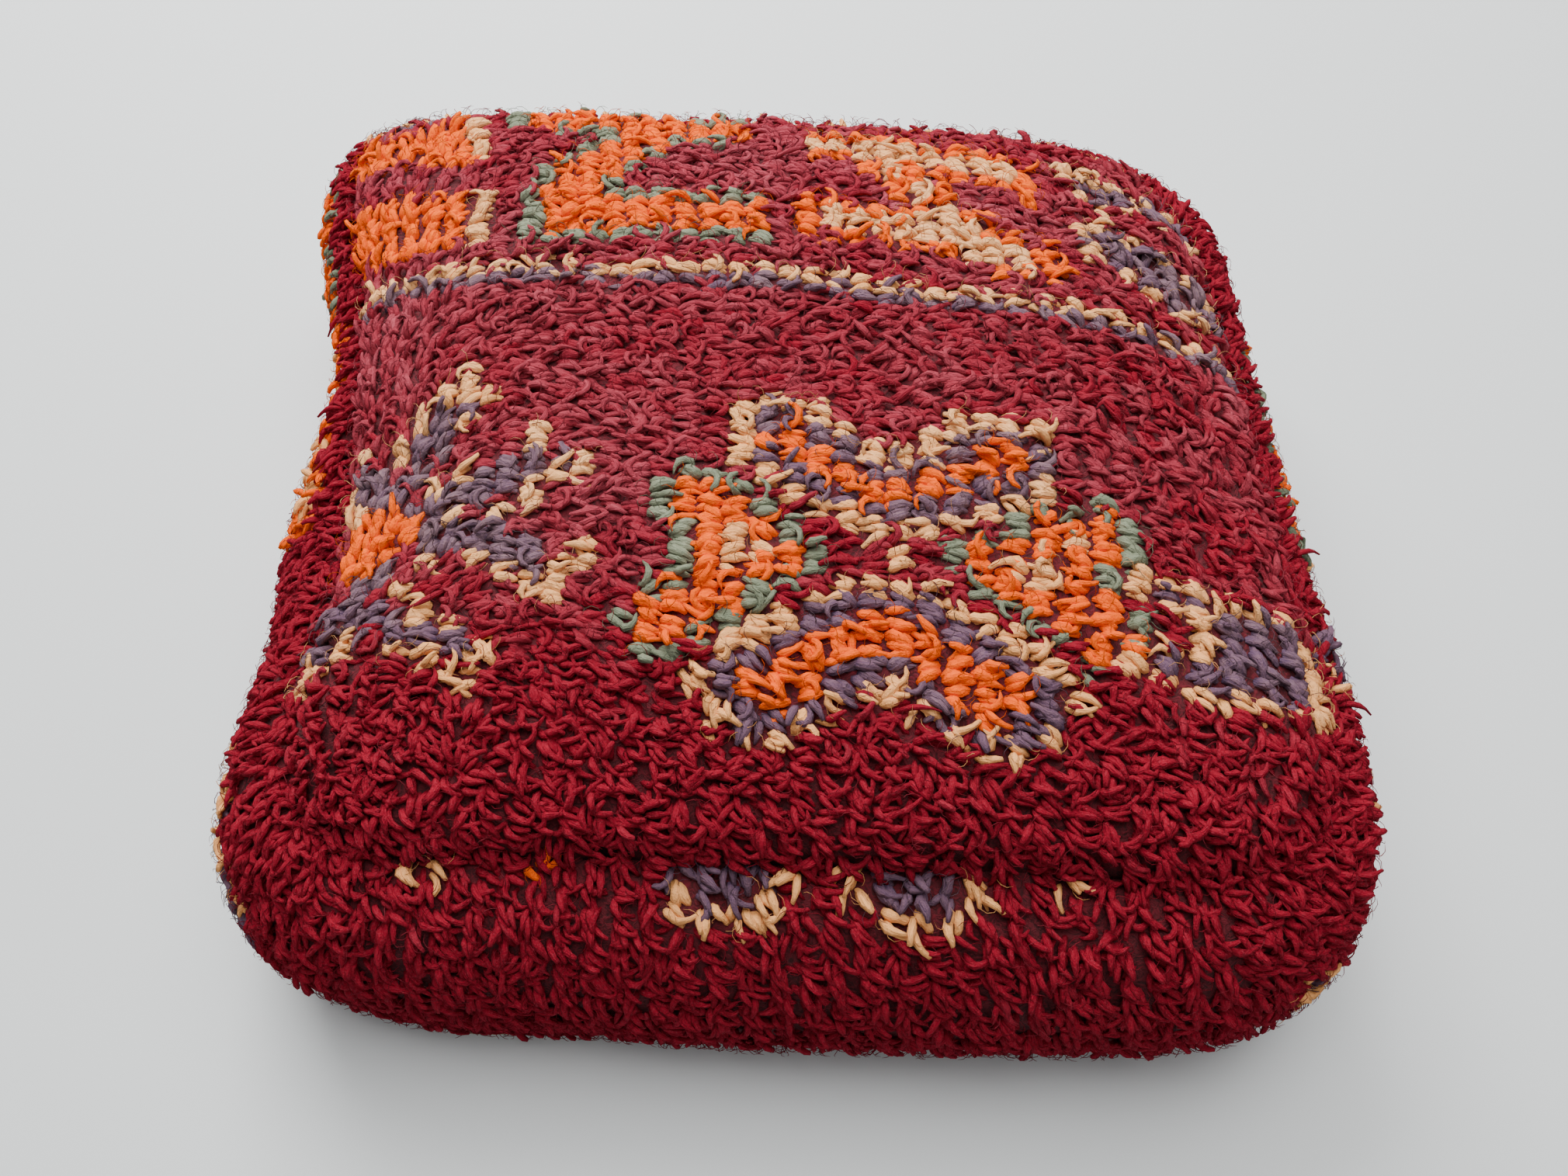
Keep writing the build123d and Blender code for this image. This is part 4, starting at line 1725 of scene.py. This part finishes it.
@dataclass
class SeamThreads:
    """The thread that joins the rug panels, sunk between their edges."""

    cover: RugCover
    radius: float = 0.001
    sunk: float = 0.003
    sides: int = 6

    def _tube(self, path: list[Vector], closed: bool) -> bmesh.types.BMesh:
        """A round thread along a path.

        Args:
            path: its middle line.
            closed: whether it joins its own start.

        Returns:
            The thread, in a new bmesh.
        """
        bm = bmesh.new()
        rings = []
        count = len(path)
        for index, place in enumerate(path):
            before = path[index - 1] if closed or index else place
            after = path[(index + 1) % count] if closed or index < count - 1 else place
            turn = (after - before).to_track_quat("Z", "Y").to_matrix().to_4x4()
            made = bmesh.ops.create_circle(
                bm,
                segments=self.sides,
                radius=self.radius,
                matrix=Matrix.Translation(place) @ turn,
                cap_ends=False,
            )
            rings.append(list({edge for vert in made["verts"] for edge in vert.link_edges}))
        for first, second in zip(rings, rings[1:]):
            bmesh.ops.bridge_loops(bm, edges=first + second)
        if closed:
            bmesh.ops.bridge_loops(bm, edges=rings[-1] + rings[0])
        else:
            bmesh.ops.contextual_create(bm, geom=rings[0])
            bmesh.ops.contextual_create(bm, geom=rings[-1])
        bmesh.ops.recalc_face_normals(bm, faces=bm.faces)
        return bm

    def _edge(self, side: Side, u: np.ndarray, v: np.ndarray) -> list[Vector]:
        """Places along a panel's edge, sunk under its pile."""
        places, _, _, out = self.cover.grids[side].at(u, v)
        return [Vector(place - direction * self.sunk) for place, direction in zip(places, out)]

    def dress(self, finish: bpy.types.Material) -> list[bpy.types.Object]:
        """Makes the top seam's thread and the four corner threads.

        Args:
            finish: the thread's material.

        Returns:
            The new pieces.
        """
        run, steps = np.linspace(0, 1, 40, endpoint=False), 12
        flat, full = np.zeros_like(run), np.ones_like(run)
        ring = []
        for u, v in ((run, flat), (full, run), (1 - run, full), (flat, 1 - run)):
            ring += self._edge(Side.TOP, u, v)
        top = new_piece("top_seam_stitches", mesh_of(self._tube(ring, True), "top_seam_stitches"))
        rise = np.linspace(0.03, 0.97, steps)
        corners = bmesh.new()
        for side in (Side.FRONT, Side.RIGHT, Side.BACK, Side.LEFT):
            post = mesh_of(self._tube(self._edge(side, np.zeros(steps), rise), False), "post")
            corners.from_mesh(post)
            bpy.data.meshes.remove(post)
        posts = new_piece("corner_seam_stitches", mesh_of(corners, "corner_seam_stitches"))
        for piece, node in ((top, "top_seam_thread"), (posts, "corner_seam_threads")):
            piece.data.materials.append(finish)
            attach(piece, "cover")
            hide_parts(node)
        return [top, posts]


@dataclass
class BaseAndZip:
    """The canvas base, the zip and the sewing, which keep their CAD shapes."""

    nodes: dict[str, bpy.types.Object]

    def dress(self, shared: SharedEffects) -> None:
        """Gives each CAD piece its finish.

        Args:
            shared: the shared node groups.
        """
        finishes = {
            CANVAS: ("base_panel_front", "base_panel_back"),
            TAPE: ("zip_tape_front", "zip_tape_back"),
            TEETH: ("zip_teeth_front", "zip_teeth_back"),
            STEEL: ("zip_slider", "zip_pull", "zip_top_stops", "zip_bottom_stop"),
            THREAD: ("zip_stitching", "base_seam_thread"),
        }
        for finish, names in finishes.items():
            material = finish.build(shared)
            for name in names:
                mesh = self.nodes[name].data
                mesh.materials.clear()
                mesh.materials.append(material)
                LOG.info("%s dressed in %s", name, finish.name)


# ---------------------------------------------------------------- studio


@dataclass
class Studio:
    """A plain pale floor, soft light, and the camera."""

    eye: tuple[float, float, float] = (0.0165, -0.3515, 0.7455)
    azimuth: float = -4.9
    elevation: float = -63.4
    roll: float = -5.8
    lens: float = 27.05
    floor_size: float = 12.0
    floor_drop: float = 0.0004

    def build(self) -> None:
        """Makes the floor, the lights and the camera."""
        self._floor()
        self._lights()
        self._camera()

    def _floor(self) -> None:
        """The pale floor."""
        bm = bmesh.new()
        bmesh.ops.create_grid(bm, x_segments=1, y_segments=1, size=self.floor_size / 2)
        bmesh.ops.translate(bm, verts=bm.verts, vec=(0, 0, -self.floor_drop))
        floor = new_piece("studio_floor", mesh_of(bm, "studio_floor"))
        material, nodes, shader = new_material("pale_floor")
        shader.inputs["Base Color"].default_value = (0.66, 0.68, 0.68, 1.0)
        shader.inputs["Roughness"].default_value = 0.6
        floor.data.materials.append(material)

    @staticmethod
    def _lights() -> None:
        """Soft light from above and behind, and a weak fill from the front."""
        for name, place, size, power in (
            ("window", (-0.7, 1.9, 1.9), 1.6, 117.0),
            ("sky", (0.3, 0.7, 2.6), 2.2, 97.0),
            ("fill", (0.6, -2.2, 1.5), 2.0, 4.4),
        ):
            light = bpy.data.lights.new(name, "AREA")
            light.size = size
            light.energy = power
            lamp = link(bpy.data.objects.new(name, light))
            lamp.location = place
            lamp.rotation_euler = (Vector((0, 0, 0.1)) - Vector(place)).to_track_quat("-Z", "Y").to_euler()
        world = bpy.data.worlds.new("studio")
        bpy.context.scene.world = world
        world.use_nodes = True
        world.node_tree.nodes["Background"].inputs[0].default_value = (0.95, 0.98, 1.0, 1.0)
        world.node_tree.nodes["Background"].inputs[1].default_value = 0.3

    def _camera(self) -> None:
        """A camera that looks down on the cushion from just in front of it."""
        camera = bpy.data.cameras.new("camera")
        camera.lens = self.lens
        camera.sensor_width = 36.0
        camera.clip_start = 0.02
        obj = link(bpy.data.objects.new("camera", camera))
        turn = Matrix.Rotation(math.radians(-self.azimuth), 4, "Z")
        tilt = Matrix.Rotation(math.radians(90 + self.elevation), 4, "X")
        spin = Matrix.Rotation(math.radians(self.roll), 4, "Z")
        obj.matrix_world = Matrix.Translation(self.eye) @ turn @ tilt @ spin
        bpy.context.scene.camera = obj


def main() -> None:
    """Builds the pouf in order and reports each piece."""
    logging.basicConfig(level=logging.INFO, format="%(name)s: %(message)s")
    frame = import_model()
    shared = SharedEffects()

    base_low, base_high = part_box("base_panel_front")
    base_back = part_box("base_panel_back")[1].y
    wall_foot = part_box("front_panel")[0].z
    turned_in = 4.0 * MM
    base_half = ((base_high.x - base_low.x) / 2 - turned_in, (base_back - base_low.y) / 2 - turned_in)
    cover = RugCover(base_half=base_half, lowest=wall_foot + FLOOR_GAP)
    cover.build()
    for piece in cover.dress(GROUND_WOOL_AND_GAP_SHADE.build(shared)):
        LOG.info("%s: %d faces", piece.name, len(piece.data.polygons))

    pattern = RugPattern()
    pattern.build()
    wools = {yarn: finish.build(shared) for yarn, finish in WOOLS.items()}
    kit = TuftKit()
    for number, side in enumerate(Side):
        pile = Pile(cover.grids[side], pattern.fields[side], pattern.charts[side], kit, seed=71 + number)
        for piece in pile.dress(wools):
            LOG.info("%s: %d faces", piece.name, len(piece.data.polygons))
    kit.put_away()

    inner = InnerCushion(cover)
    for piece in inner.dress(CALICO.build(shared), STUFFING.build(shared)):
        LOG.info("%s: %d faces", piece.name, len(piece.data.polygons))
    for piece in SeamThreads(cover).dress(THREAD.build(shared)):
        LOG.info("%s: %d faces", piece.name, len(piece.data.polygons))
    BaseAndZip(frame["nodes"]).dress(shared)
    Studio().build()


if __name__ == "__main__":
    main()
